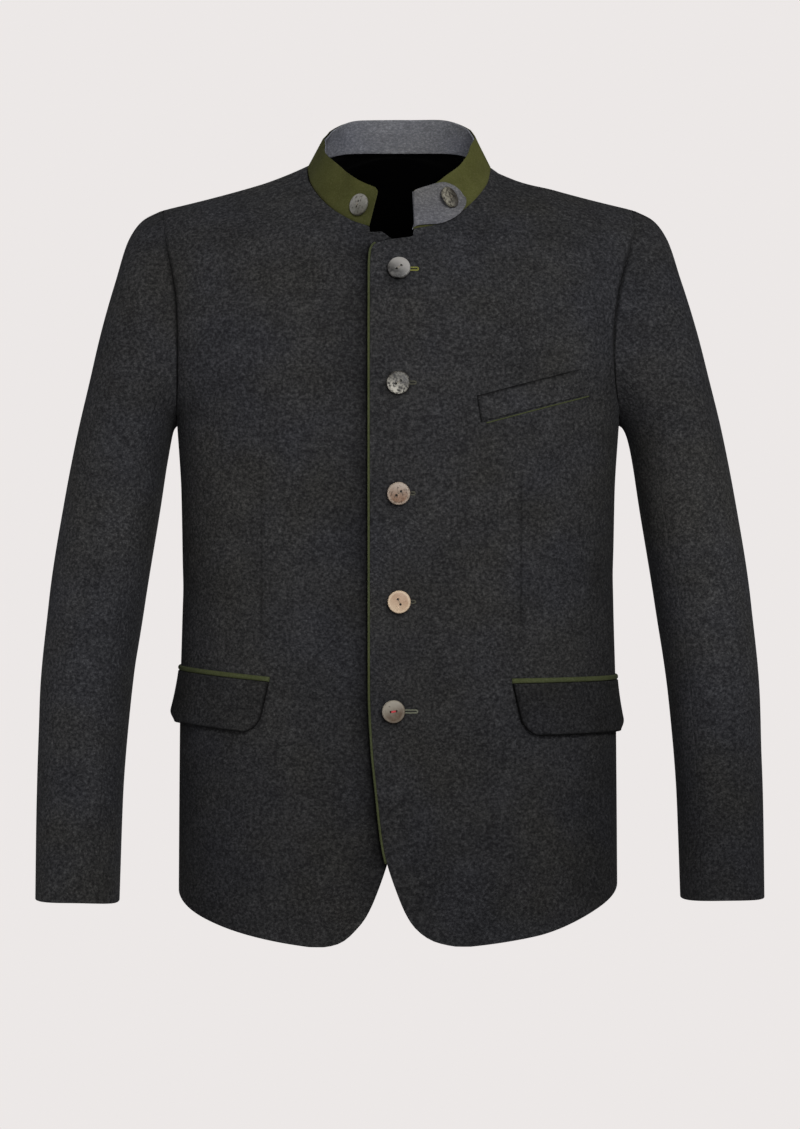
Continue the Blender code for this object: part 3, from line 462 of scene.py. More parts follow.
EDGES = {
    "left": table(
        "level x z", (0.000, 0.0680, -0.7398), (0.012, 0.0560, -0.7397), (0.024, 0.0440, -0.7378),
        (0.036, 0.0330, -0.7345), (0.049, 0.0220, -0.7278), (0.063, 0.0122, -0.7175),
        (0.100, -0.0008, -0.6900), (0.150, -0.0130, -0.6500), (0.210, -0.0192, -0.6000),
        (0.270, -0.0240, -0.5500), (0.330, -0.0262, -0.4990), (0.620, -0.0264, -0.2440),
        (0.790, -0.0264, -0.1040), (0.815, -0.0256, -0.0890), (0.832, -0.0222, -0.0812),
        (0.850, -0.0050, -0.0764), (0.868, 0.0140, -0.0728), (0.880, 0.0146, -0.0674),
        (0.910, 0.0370, -0.0612), (0.940, 0.0610, -0.0465), (0.970, 0.0793, -0.0250),
        (0.985, 0.0857, -0.0127), (1.000, 0.0882, 0.0000)),
    "right": table(
        "level x z", (0.000, 0.0830, -0.7405), (0.012, 0.0715, -0.7405), (0.024, 0.0600, -0.7387),
        (0.036, 0.0500, -0.7342), (0.049, 0.0402, -0.7253), (0.063, 0.0308, -0.7140),
        (0.100, 0.0180, -0.6862), (0.150, 0.0062, -0.6500), (0.210, -0.0055, -0.6000),
        (0.270, -0.0150, -0.5500), (0.330, -0.0220, -0.4990), (0.620, -0.0240, -0.2440),
        (0.790, -0.0240, -0.1060), (0.815, -0.0225, -0.0930), (0.832, -0.0180, -0.0845),
        (0.850, -0.0050, -0.0785), (0.862, 0.0060, -0.0740), (0.876, 0.0185, -0.0660),
        (0.888, 0.0268, -0.0650), (0.900, 0.0276, -0.0600), (0.920, 0.0450, -0.0552),
        (0.940, 0.0610, -0.0455), (0.970, 0.0793, -0.0250), (0.985, 0.0857, -0.0127),
        (1.000, 0.0882, 0.0000)),
    "back": table(
        "level x z", (0.00, 0.0000, -0.6805), (0.14, 0.0000, -0.5990), (0.30, 0.0000, -0.4990),
        (0.44, 0.0000, -0.3950), (0.54, 0.0000, -0.3080), (0.62, 0.0000, -0.2260), (0.74, 0.0000, -0.1000),
        (0.860, 0.0000, 0.0220), (0.861, 0.0078, 0.0220), (0.865, 0.0175, 0.0219), (0.870, 0.0248, 0.0218),
        (0.880, 0.0350, 0.0215), (0.895, 0.0464, 0.0210), (0.910, 0.0545, 0.0200), (0.940, 0.0688, 0.0160),
        (0.955, 0.0756, 0.0129), (0.970, 0.0822, 0.0088), (0.985, 0.0864, 0.0045), (1.000, 0.0882, 0.0000))}
NECK_END = {"left": 0.88, "right": 0.90}
ARMHOLE_SHIFT = table(
    "z left right", (-0.235, 0.0, 0.0), (-0.215, -0.0026, 0.0), (-0.184, -0.0044, 0.0),
    (-0.155, -0.0040, 0.0), (-0.120, -0.0013, 0.0002), (-0.087, 0.0030, 0.0023), (-0.064, 0.0058, 0.0027),
    (-0.050, 0.0036, 0.0018), (-0.040, 0.0, 0.0))


def underarm_row(turn):
    """First row of an armhole table: the point on the underarm's oval where the side seam ends."""
    half_width, side = read(GIRTH, "half_width", UNDERARM), read(GIRTH, "side_y", UNDERARM)
    x = half_width * math.sin(SIDE_SEAM_ANGLE) ** (2 / ROUNDNESS)
    y = side + (read(DEPTHS, "back", UNDERARM) - side) * abs(math.cos(SIDE_SEAM_ANGLE)) ** (2 / ROUNDNESS)
    return UNDERARM, x, y, read(GIRTH, "seam_z", UNDERARM), math.degrees(turn)


ARMHOLES = {
    "front": table(
        "level x y z turn", underarm_row(SIDE_SEAM_ANGLE), (0.640, 0.2140, 0.0080, -0.2418, 93.0),
        (0.660, 0.2138, -0.0180, -0.2390, 87.0), (0.690, 0.2128, -0.0440, -0.2240, 78.0),
        (0.740, 0.2112, -0.0605, -0.1880, 70.0), (0.800, 0.2120, -0.0600, -0.1440, 64.0),
        (0.870, 0.2165, -0.0470, -0.1000, 62.0), (0.940, 0.2225, -0.0260, -0.0640, 61.0),
        (0.975, 0.2260, -0.0090, -0.0460, 60.0), (1.000, 0.2285, 0.0060, -0.0385, 60.0)),
    "back": table(
        "level x y z turn", underarm_row(math.pi - SIDE_SEAM_ANGLE), (0.650, 0.2065, 0.0520, -0.2290, 70.0),
        (0.700, 0.2060, 0.0660, -0.1920, 64.0), (0.770, 0.2090, 0.0670, -0.1450, 58.0),
        (0.850, 0.2150, 0.0560, -0.1010, 55.0), (0.930, 0.2220, 0.0340, -0.0640, 56.0),
        (0.970, 0.2258, 0.0180, -0.0460, 58.0), (1.000, 0.2285, 0.0060, -0.0385, 60.0))}
print("Half chest in mm:", round(1000 * float(read(GIRTH, "half_width", UNDERARM))))

# %% [markdown]
# ## The torso surface
#
# A point of the torso has a level and an angle round the body: 0 is the middle, about 104 degrees the side
# seam. Its height runs from the row's height in the middle to its height at the end, first in a bow and,
# toward the shoulders, along a straight slope.

# %% Torso surface
HEM_LIFT, HEM_RANGE = 0.17, 0.14
YOKE_START, YOKE_RANGE, YOKE_BLUNT = 0.66, 0.26, 0.30
RIDGE_START, RIDGE_RANGE, RIDGE_BLUNT = 0.84, 0.14, 0.01
NECK_HOLLOW = 0.5
OUTWARD_RISE, OUTWARD_FROM, OUTWARD_RANGE = 0.15, -0.25, 0.20
SMALL_STEP = 1e-3


def torso_rows(face, level):
    """Middle and far depth, widest line, half width, end angle and end height of the torso rows."""
    front, back = -read(DEPTHS, "front", level), read(DEPTHS, "back", level)
    near, far = (front, back) if face == "front" else (back, front)
    hole, below = ARMHOLES[face], level <= UNDERARM
    seam_turn = SIDE_SEAM_ANGLE if face == "front" else math.pi - SIDE_SEAM_ANGLE
    turn = np.where(below, seam_turn, np.radians(read(hole, "turn", level)))
    cosine = power(np.cos(turn), 2 / ROUNDNESS)
    toward = np.where(cosine > 0, near, far)
    hole_side = (read(hole, "y", level) - toward * np.abs(cosine)) / (1 - np.abs(cosine))
    hole_width = read(hole, "x", level) / np.sin(turn) ** (2 / ROUNDNESS)
    side = np.where(below, read(GIRTH, "side_y", level), hole_side)
    half_width = np.where(below, read(GIRTH, "half_width", level), hole_width)
    end_z = np.where(below, read(GIRTH, "seam_z", level), read(hole, "z", level))
    return near, far, side, half_width, turn, end_z


def row_rise(level, angle, end_angle):
    """Share of the way from a row's middle height to its end height: a bow below, a straight slope above."""
    straight = ramp(level, YOKE_START, YOKE_RANGE)
    bowed = ((1 - np.cos(angle)) / (1 - np.cos(end_angle))) ** (1 - HEM_LIFT * (1 - ease(level / HEM_RANGE)))
    across = np.abs(np.sin(angle) / np.sin(end_angle)) ** (2 / ROUNDNESS)
    across = across ** (1 - NECK_HOLLOW * ramp(level, BACK_NECK, 1 - BACK_NECK))
    blunt = RIDGE_BLUNT + YOKE_BLUNT * (1 - ramp(level, RIDGE_START, RIDGE_RANGE))
    sloped = (np.hypot(across, blunt) - blunt) / (np.hypot(1.0, blunt) - blunt)
    return (1 - straight) * bowed + straight * sloped


def edge_angle(face, side, level):
    """Angle round the torso at which a panel's front edge, neckline or middle back lies."""
    return np.arcsin(power(read(EDGES[side], "x", level) / torso_rows(face, level)[3], ROUNDNESS / 2))


def torso(face, side, level, angle):
    """Points of the wearer's left half: in each row an oval of rounded-off sine and cosine."""
    near, far, middle_y, half_width, end_angle, end_z = torso_rows(face, level)
    edge_rise = row_rise(level, edge_angle(face, side, level), end_angle)
    middle_z = (read(EDGES[side], "z", level) - edge_rise * end_z) / (1 - edge_rise)
    cosine = power(np.cos(angle), 2 / ROUNDNESS)
    x = half_width * power(np.sin(angle), 2 / ROUNDNESS)
    y = middle_y + (np.where(cosine > 0, near, far) - middle_y) * np.abs(cosine)
    z = middle_z + (end_z - middle_z) * row_rise(level, angle, end_angle)
    return np.stack(np.broadcast_arrays(x, y, z), axis=-1)


def torso_normals(face, side, level, angle):
    """Unit outward normals: cross product of small steps along and across the rows."""
    across = torso(face, side, level, angle + SMALL_STEP) - torso(face, side, level, angle - SMALL_STEP)
    upper, lower = np.minimum(level + SMALL_STEP, 1.0), np.maximum(level - SMALL_STEP, 0.0)
    normal = unit(np.cross(across, torso(face, side, upper, angle) - torso(face, side, lower, angle)))
    points = torso(face, side, level, angle)
    outward = points * FLAT + OUTWARD_RISE * ramp(points[..., 2:3], OUTWARD_FROM, OUTWARD_RANGE) * UP
    return normal * np.sign(np.sum(normal * outward, axis=-1, keepdims=True))


print("Front at chest level:", torso("front", "left", UNDERARM, 0.3).round(3).tolist())

# %% [markdown]
# ## Creases, darts and the overlap
#
# Worn cloth is never quite even. A handful of soft troughs and ridges, each a line with a bell-shaped
# profile, are placed where the cloth is drawn: below the armholes, at the waist and in the skirt.
# A dart, a narrow tuck that shapes the waist, shows as one fine groove in each front. The right front sinks
# a few millimetres where the left front lies over it.

# %% Relief of the fronts and the back
CREASES = {
    "left": table(
        "x0 z0 x1 z1 height width", (0.205, -0.205, 0.150, -0.290, -0.0012, 0.015),
        (0.190, -0.250, 0.176, -0.400, 0.0012, 0.020), (0.196, -0.392, 0.135, -0.430, -0.0014, 0.017),
        (0.150, -0.345, 0.098, -0.395, -0.0006, 0.014), (0.170, -0.575, 0.178, -0.700, -0.0022, 0.018),
        (0.128, -0.580, 0.133, -0.720, 0.0014, 0.022), (0.120, -0.050, 0.185, -0.105, -0.0008, 0.013)),
    "right": table(
        "x0 z0 x1 z1 height width", (0.204, -0.215, 0.140, -0.300, -0.0013, 0.016),
        (0.188, -0.260, 0.180, -0.390, 0.0012, 0.019), (0.195, -0.405, 0.130, -0.450, -0.0015, 0.018),
        (0.140, -0.330, 0.090, -0.370, -0.0006, 0.015), (0.165, -0.590, 0.170, -0.710, -0.0020, 0.017),
        (0.115, -0.570, 0.112, -0.720, 0.0015, 0.023), (0.125, -0.055, 0.180, -0.110, -0.0007, 0.014)),
    "back": table(
        "x0 z0 x1 z1 height width", (0.185, -0.215, 0.105, -0.290, -0.0022, 0.018),
        (-0.182, -0.205, -0.110, -0.300, -0.0024, 0.017), (0.150, -0.390, 0.030, -0.405, -0.0018, 0.014),
        (-0.145, -0.385, -0.020, -0.420, -0.0020, 0.015), (0.120, -0.430, -0.040, -0.440, 0.0012, 0.016),
        (0.110, -0.520, 0.118, -0.680, -0.0026, 0.020), (-0.118, -0.530, -0.112, -0.680, -0.0024, 0.021),
        (0.010, -0.500, 0.004, -0.690, 0.0016, 0.026), (0.150, -0.060, 0.095, -0.140, -0.0014, 0.016),
        (-0.155, -0.065, -0.100, -0.130, -0.0012, 0.015))}
DART_X = {"left": 0.1155, "right": 0.1282}
DART_TOP, DART_END, DART_FADE = -0.275, -0.470, 0.05
GROOVE_DEPTH, GROOVE_WIDTH = 0.0006, 0.0011
DIP_DEPTH, DIP_WIDTH = 0.0005, 0.013
OVERLAP_DROP, OVERLAP_END, OVERLAP_RAMP = 0.0058, 0.022, 0.034


def creases(rows, across, up):
    """Sum of troughs and ridges: each falls off as a bell curve from its line, strongest at its middle."""
    total = 0.0
    for a0, b0, a1, b1, height, width in zip(*rows.values()):
        run, rise = a1 - a0, b1 - b0
        part = np.clip(((across - a0) * run + (up - b0) * rise) / (run ** 2 + rise ** 2), 0.0, 1.0)
        away = np.hypot(across - a0 - part * run, up - b0 - part * rise)
        total = total + height * bell(away, width) * (0.55 + 0.45 * np.sin(math.pi * part))
    return total


def dart_shown(z):
    """How much of the dart shows at a height: it fades out at both ends."""
    return ease((DART_TOP - z) / DART_FADE) * ease((z - DART_END) / DART_FADE)


def relief(side, x, z):
    """Height of a front over the plain torso: creases, a dart groove and the sinking under the overlap."""
    off = x - DART_X[side]
    groove = GROOVE_DEPTH * bell(off, GROOVE_WIDTH) + DIP_DEPTH * bell(off, DIP_WIDTH)
    height = creases(CREASES[side], x, z) - dart_shown(z) * groove
    if side == "right":
        height = height - OVERLAP_DROP * (1 - ramp(x, OVERLAP_END, OVERLAP_RAMP))
    return height


def front(side, level, angle):
    """Points and normals of a front with its relief, still on the wearer's left half."""
    points, normals = torso("front", side, level, angle), torso_normals("front", side, level, angle)
    return points + normals * relief(side, points[..., 0], points[..., 2])[..., None], normals


print("Creases on the back:", len(CREASES["back"]["x0"]))

# %% [markdown]
# ## Where the cloth is darker
#
# Soft studio light leaves faint shadows that a painter would put in by hand: in the seams, beside an edge
# that lies on top, round each button, and slowly down the body. Each is a share of darkness with its reach.

# %% Darkness of the fronts
SHADE = table("z share", (-0.66, 0.27), (-0.60, 0.24), (-0.45, 0.13), (-0.15, 0.10), (0.0, 0.07))
FRONT_BUTTONS = table(
    "level x z turn", (0, 0.0010, -0.1060, 37.0), (1, 0.0004, -0.2136, 32.0), (2, 0.0007, -0.3167, 41.0),
    (3, 0.0012, -0.4179, -63.0), (4, -0.0041, -0.5201, 8.0))
SEAM_FADE = 0.03
ARMHOLE_LEAST, ARMHOLE_TOP, ARMHOLE_RUN = 0.12, 0.050, 0.060
# Shares of painted shade and painted shadow and, where one falls off with distance, its reach in metres
DART_DARK, DART_REACH = 0.32, 0.0013
SEAM_DARK, SEAM_REACH = 0.66, 0.0034
UNDER_EDGE = ((0.46, 0.0065), (0.30, 0.024))
BUTTON_DARK, BUTTON_REACH, BUTTON_CORE = 0.50, 0.0028, 0.0092
FLANK_DARK = {"left": 0.12, "right": 0.09}
# The whole left front is painted a little darker than the right, as painted shade
LEFT_FRONT_DARK = 0.04
# Where the left edge lies on the right front, and how far a button's shadow falls to the side and down
EDGE_LAP, SHADOW_X, SHADOW_Z = 0.0020, 0.0018, 0.0020


def shade(z):
    """Little light reaches the lower body, so the cloth darkens slowly from the neck to the hem."""
    return np.interp(z, SHADE["z"], SHADE["share"])


def armhole_fade(z):
    """The armhole seam is pressed flat at the shoulder and shows more and more below it."""
    return ARMHOLE_LEAST + (1 - ARMHOLE_LEAST) * ramp(-z, ARMHOLE_TOP, ARMHOLE_RUN)


def front_hollow(side, x, z, gap, level):
    """Painted shade of a front: on its flank, along the dart, in the armhole seam and beside what lies on it.
    """
    dark = shade(z) + DART_DARK * dart_shown(z) * bell(x - DART_X[side], DART_REACH)
    dark = dark + SEAM_DARK * armhole_fade(z) * ramp(level, UNDERARM, SEAM_FADE) * bell(gap, SEAM_REACH)
    dark = dark + FLANK_DARK[side] * ramp(x, 0.14, 0.05) * ramp(-z, 0.30, 0.10)
    if side == "right":
        away = np.maximum(x + np.interp(z, EDGES["left"]["z"], EDGES["left"]["x"]) - EDGE_LAP, 0.0)
        return dark + sum(share * np.exp(-away / reach) for share, reach in UNDER_EDGE)
    dark = dark + LEFT_FRONT_DARK
    for place_x, place_z in zip(FRONT_BUTTONS["x"], FRONT_BUTTONS["z"]):
        away = np.hypot(x - place_x + SHADOW_X, z - place_z + SHADOW_Z)
        dark = dark + BUTTON_DARK * bell(np.maximum(away - BUTTON_CORE, 0.0), BUTTON_REACH)
    return dark


print("Darkness at the hem and the neck:", float(shade(-0.7)), float(shade(0.0)))

# %% [markdown]
# ## The two fronts
#
# Each front runs from its edge in the middle to the side seam and the armhole. The columns are spaced by the
# way along each row, close together at the borders and at the dart. The right front is made on the left
# half and mirrored.

# %% Make the fronts
EDGE = CLOTH / 2
# Metres that one level stands for, and the angle by which a front goes on past the side seam
LEVEL_LENGTH, SIDE_TURN = 0.58, 0.014
# Places of the columns from the dart and from the side, in metres
DART_COLUMNS = np.array((-3.2, -1.6, -0.8, 0.0, 0.8, 1.6, 3.2)) / 1000
SEAM_COLUMNS, SEAM_BAND = np.array((8.5, 7.0, 5.6, 4.4, 3.4, 2.5, 1.7, 1.0)) / 1000, 0.010
SHIFT_REACH = 0.05
SIDE_ROLL, ARMHOLE_ROLL, ROLL_REACH = 0.0008, 0.0010, 0.0035
SHOULDER_DIP, HEM_RISE = 0.0026, 0.0055


def sway(points):
    """At the wearer's left the hem hangs a little shorter and the shoulder dips a little beside the neck."""
    x, z = points[..., 0], points[..., 2]
    dip = SHOULDER_DIP * ramp(x, 0.088, 0.010) * (1 - ramp(x, 0.112, 0.040)) * ramp(z, -0.05, 0.03)
    return (HEM_RISE * ramp(x, 0.13, 0.075) * ramp(-z, 0.56, 0.10) - dip)[..., None] * UP


def front_grid(side):
    """Levels, points, normals and painted shade of a front, in columns from its edge over the dart to the
    side.
    """
    end = NECK_END[side]
    rows = bands((0.0, 0.10, 14), (0.10, UNDERARM, 88), (UNDERARM, 0.79, 30), (0.79, end, 24), (end, 1.0, 32))
    level = close_rows(rows, EDGE / LEVEL_LENGTH, EDGE)[:, None]
    start, stop = edge_angle("front", side, level), torso_rows("front", level)[4]
    stop = stop + SIDE_TURN * (1 - ramp(level, UNDERARM - SEAM_FADE, SEAM_FADE))
    trial = start + (stop - start) * np.linspace(0.0, 1.0, 240)
    along = torso("front", side, level, trial)
    way = ways(along, 1)
    length = way[:, -1:]
    dart = np.array([np.interp(DART_X[side], x, w) for x, w in zip(along[..., 0], way)])[:, None]
    before, after = dart + DART_COLUMNS[0], dart + DART_COLUMNS[-1]
    first = EDGE + (before - EDGE) * np.linspace(0.0, 1.0, 54)[:-1]
    last = after + (length - SEAM_BAND - after) * np.linspace(0.0, 1.0, 32)[1:]
    close = 0 * dart + ROUND * EDGE
    place = np.concatenate(
        [close, first, dart + DART_COLUMNS, last, length - SEAM_COLUMNS, length - close[:, ::-1]], axis=1)
    angle = np.stack([np.interp(p, w, a) for p, w, a in zip(place, way, trial)])
    points, normals = front(side, level, angle)
    gap = length - place
    shift = np.interp(points[..., 2], ARMHOLE_SHIFT["z"], ARMHOLE_SHIFT[side]) * (1 - ease(gap / SHIFT_REACH))
    points = points + shift[..., None] * ASIDE
    roll = SIDE_ROLL + ARMHOLE_ROLL * ramp(level, UNDERARM, SEAM_FADE) * armhole_fade(points[..., 2])
    points = points - normals * (roll * bell(gap, ROLL_REACH))[..., None]
    if side == "left":
        points = points + sway(points)
    return level[:, 0], points, normals, front_hollow(side, points[..., 0], points[..., 2], gap, level)


FRONTS = {side: front_grid(side) for side in MIRROR}
fronts = {}
for side, mirror in MIRROR.items():
    level, points, normals, hollow = FRONTS[side]
    made = shell(side + "_front_cloth", points * mirror, normals * mirror, -CLOTH, 0.0, WOOL, hollow=hollow)
    fronts[side] = dress(made, "wool", side + "_front")
print("Front grid:", FRONTS["left"][1].shape[:2])

# %% [markdown]
# ## The back
#
# The back is one piece from side seam to side seam. Its columns keep the same share of the way from the
# middle to the side, and each runs from the hem up to the neckline or the shoulder seam, so that the whole
# piece is one grid.

# %% Make the back
# Crowding of the neck columns, shares of the border columns, and metres that the rows stand for at the top
NECK_CROWD, BACK_BORDERS, TOP_LENGTH = 1.4, (0.004, 0.0052), 0.9


def back_grid():
    """Rows, neck columns, points and normals of the left half of the back, in columns of even share."""
    high = np.linspace(BACK_NECK, 1.0, 300)
    share = edge_angle("back", "back", high) / torso_rows("back", high)[4]
    neck = np.linspace(0.0, 1.0, 22) ** NECK_CROWD * share[-1]
    side = close_rows(np.linspace(share[-1], 1.0, 34), *BACK_BORDERS)[4:]
    columns = np.concatenate([neck[:-1], [share[-1]], side])
    top = np.interp(columns, share, high)
    rows = bands((0.0, UNDERARM, 104), (UNDERARM, BACK_NECK, 44), (BACK_NECK, 1.0, 34))
    rows = close_rows(rows, EDGE / LEVEL_LENGTH, EDGE / TOP_LENGTH)
    level = rows[:, None] * top
    spot = ("back", "back", level, columns * torso_rows("back", level)[4])
    return rows, columns <= share[-1] + TINY, torso(*spot), torso_normals(*spot)


BACK_ROWS, BACK_NECK_COLUMNS, half, half_normals = back_grid()
half[:, 0, 0] = 0.0
points = np.concatenate([half[:, :0:-1] * MIRROR["right"], half], axis=1)
normals = unit(np.concatenate([half_normals[:, :0:-1] * MIRROR["right"], half_normals], axis=1))
points = points + normals * creases(CREASES["back"], points[..., 0], points[..., 2])[..., None]
points = points + sway(points)
made = shell("back_cloth", points, normals, -CLOTH, 0.0, WOOL, hollow=shade(points[..., 2]))
back = dress(made, "wool", "back")
print("Back grid:", points.shape[:2])

# %% [markdown]
# ## The sleeves
#
# A tailored sleeve has two parts, a wide top sleeve and a narrow under sleeve, with one seam toward the front
# of the forearm and one at the back. Its first ring is the armhole itself; down the arm the rings ease
# into plain ovals that bend forward at the elbow. A narrow tongue goes in under the armhole edge, as the
# seam allowance does. Soft creases are drawn where an arm bends the cloth.

# %% Sleeve measures
SEAMS = FOREARM_SEAM, HINDARM_SEAM = 0.35, 0.72
SLEEVE_GIRTH, SLEEVE_LENGTH, SLEEVE_ROUNDNESS = 0.36, 0.66, 2.2
SLEEVE = table(
    "level outer_x outer_z inner_x inner_z middle_y half_depth",
    (0.00, 0.2285, -0.0385, 0.2140, -0.2425, 0.004, 0.0640),
    (0.06, 0.2480, -0.0488, 0.2158, -0.2445, 0.004, 0.0660),
    (0.12, 0.2610, -0.0663, 0.2170, -0.2465, 0.004, 0.0675),
    (0.20, 0.2745, -0.1070, 0.2185, -0.2500, 0.004, 0.0690),
    (0.28, 0.2880, -0.1550, 0.2200, -0.2550, 0.004, 0.0700),
    (0.36, 0.3000, -0.2050, 0.2225, -0.2650, 0.004, 0.0705),
    (0.45, 0.3120, -0.2550, 0.2265, -0.2860, 0.005, 0.0705),
    (0.55, 0.3255, -0.3230, 0.2330, -0.3280, 0.007, 0.0700),
    (0.68, 0.3405, -0.4200, 0.2482, -0.4220, 0.007, 0.0670),
    (0.80, 0.3480, -0.5150, 0.2607, -0.5150, -0.005, 0.0620),
    (0.90, 0.3490, -0.6100, 0.2670, -0.6100, -0.022, 0.0575),
    (1.00, 0.3480, -0.7005, 0.2685, -0.7015, -0.042, 0.0540))
SLEEVE_CREASES = {
    "left": table(
        "a0 b0 a1 b1 height width", (0.070, -0.420, 0.165, -0.455, -0.0022, 0.013),
        (0.085, -0.470, 0.170, -0.485, -0.0018, 0.012), (0.060, -0.385, 0.150, -0.405, 0.0012, 0.014),
        (0.230, -0.400, 0.290, -0.455, -0.0016, 0.014), (0.050, -0.130, 0.120, -0.235, -0.0018, 0.016),
        (0.270, -0.140, 0.235, -0.250, -0.0020, 0.017), (0.020, -0.560, 0.100, -0.590, -0.0010, 0.015),
        (0.255, -0.550, 0.320, -0.600, -0.0012, 0.016)),
    "right": table(
        "a0 b0 a1 b1 height width", (0.065, -0.430, 0.160, -0.450, -0.0020, 0.014),
        (0.080, -0.475, 0.175, -0.500, -0.0020, 0.012), (0.055, -0.392, 0.140, -0.415, 0.0012, 0.015),
        (0.235, -0.415, 0.300, -0.460, -0.0018, 0.015), (0.045, -0.120, 0.115, -0.225, -0.0017, 0.015),
        (0.275, -0.150, 0.240, -0.260, -0.0018, 0.016), (0.030, -0.545, 0.110, -0.570, -0.0011, 0.015),
        (0.250, -0.570, 0.310, -0.610, -0.0011, 0.015))}
# Columns beside each sleeve seam, and the share of the way round that is kept free of others
SEAM_CLOSE, SEAM_CLEAR = np.array((-1, -0.5, -0.134, 0, 0.134, 0.5, 1)) * 0.003, 0.005
CAP_LENGTH = 0.34
GROOVE, GROOVE_REACH = 0.0018, 0.0045
TONGUE_IN, TONGUE_UNDER, TONGUE_END = 0.003, 0.0012, 0.006
SLEEVE_SWAY = {"left": 0.0018, "right": -0.0018}
CUFF_ARCH, CUFF_DROOP, CUFF_TILT = 0.0022, 0.0026, 0.0011
# Painted shade on the sleeve cap and toward each cuff
CAP_DARK, CUFF_DARK = 0.15, {"left": 0.38, "right": 0.10}
print("Sleeve length in mm:", round(1000 * SLEEVE_LENGTH))

# %% Sleeve surface
def armhole(side):
    """Points and normals round the armhole from the shoulder over the front and under the arm to the back."""
    level, points, normals, unused = FRONTS[side]
    fore, hind = level >= UNDERARM - TINY, BACK_ROWS >= UNDERARM - TINY
    chain = np.concatenate([points[fore, -1][::-1], half[hind, -1][1:]])
    out = np.concatenate([normals[fore, -1][::-1], half_normals[hind, -1][1:]])
    return chain, out


def sleeve_ring(level, around):
    """Rounded oval between an outer and an inner point, with its own depth, at shares of the way round."""
    turn = 2 * math.pi * around
    out, forward = (power(way(turn), 2 / SLEEVE_ROUNDNESS) for way in (np.cos, np.sin))
    at = {name: read(SLEEVE, name, level) for name in SLEEVE}
    x = (at["outer_x"] + at["inner_x"]) / 2 + (at["outer_x"] - at["inner_x"]) / 2 * out
    z = (at["outer_z"] + at["inner_z"]) / 2 + (at["outer_z"] - at["inner_z"]) / 2 * out
    return np.stack(np.broadcast_arrays(x, at["middle_y"] - at["half_depth"] * forward, z), axis=-1)


def cuff_rise(side, rings):
    """Height of a cuff's edge over a level one: the left edge arches, the right one droops at both sides."""
    far, near = (pick(rings[..., 0], axis=1)[:, None] for pick in (np.max, np.min))
    off = (2 * rings[..., 0] - far - near) / (far - near)
    return CUFF_ARCH * (1 - off ** 2) if side == "left" else -(CUFF_DROOP - CUFF_TILT * off) * off ** 2


def sleeve_grid(side):
    """Shares round, rings, normals and painted shade of a sleeve: the armhole eases into ovals down its cap.
    """
    chain, out = armhole(side)
    place = way_along(chain)
    free = np.min(np.abs(place[:, None] - SEAMS), axis=1) > SEAM_CLEAR
    close = np.array(SEAMS)[:, None] + SEAM_CLOSE
    around = np.sort(np.concatenate([place[free], close.ravel()]))
    loop, out = chain_at(place, chain, around), unit(chain_at(place, out, around))
    level = bands((0.0, 0.030, 18), (0.030, 1.0, 126))
    level = close_rows(level, EDGE / SLEEVE_LENGTH, EDGE / SLEEVE_LENGTH)[:, None]
    rings = sleeve_ring(level, around[None])
    rings = rings + (loop[None] - rings[:1]) * (1 - ease(level / CAP_LENGTH))[..., None]
    wide = np.concatenate([rings[:, -2:-1], rings, rings[:, 1:2]], axis=1)
    centre = rings[:, :-1].mean(axis=1, keepdims=True)
    normals = grid_normals(wide, wide - centre)[:, 1:-1]
    fade = ease(level / 0.10) * ease((1.0 - level) / 0.06)
    height = creases(SLEEVE_CREASES[side], around[None] * SLEEVE_GIRTH, -level * SLEEVE_LENGTH) * fade
    seam = bell(level * SLEEVE_LENGTH, GROOVE_REACH) * armhole_fade(loop[None, :, 2])
    rings = rings + normals * height[..., None] - normals * (GROOVE * seam)[..., None]
    tongue = (1 - ease(level / TONGUE_END))[..., None]
    fore = (1 - ramp(around, 0.42, 0.12))[None, :, None]
    rings = rings - tongue * (TONGUE_IN * ASIDE + TONGUE_UNDER * fore * out[None])
    drift = ramp(level, 0.10, 0.34)[..., None] * SLEEVE_SWAY[side] * ASIDE
    drift = drift + (cuff_rise(side, rings) * ramp(level, 0.88, 0.12))[..., None] * UP
    # Painted shade in the armhole seam, on the sleeve cap and toward the cuff
    hollow = SEAM_DARK * seam + CAP_DARK * (1 - ramp(level, 0.34, 0.22))
    hollow = hollow + CUFF_DARK[side] * ramp(level, 0.70, 0.25)
    return around, rings + drift, normals, hollow


print("Points round the left armhole:", len(armhole("left")[0]))

# %% Make the sleeves
sleeves = {}
for side, mirror in MIRROR.items():
    around, rings, ring_normals, hollow = sleeve_grid(side)
    count = np.arange(len(around))
    top = np.concatenate([count[around >= HINDARM_SEAM - TINY][:-1], count[around <= FOREARM_SEAM + TINY]])
    under = count[(around >= FOREARM_SEAM - TINY) & (around <= HINDARM_SEAM + TINY)]
    for part, chosen in (("top_sleeve_" + side, top), ("under_sleeve_" + side, under)):
        made = shell(part + "_cloth", rings[:, chosen] * mirror, ring_normals[:, chosen] * mirror,
                     -CLOTH, 0.0, WOOL, hollow=hollow[:, chosen])
        sleeves[part] = dress(made, "wool", part)
print("Sleeve grid:", rings.shape[:2])

# %% [markdown]
# ## The stand collar
#
# The collar stands on the neckline: olive felt outside, a little taller grey cloth inside. It leans toward
# the neck, most at the sides, and its right end is slanted with a rounded corner. Its foot goes down inside
# the neckline, as a sewn seam does.

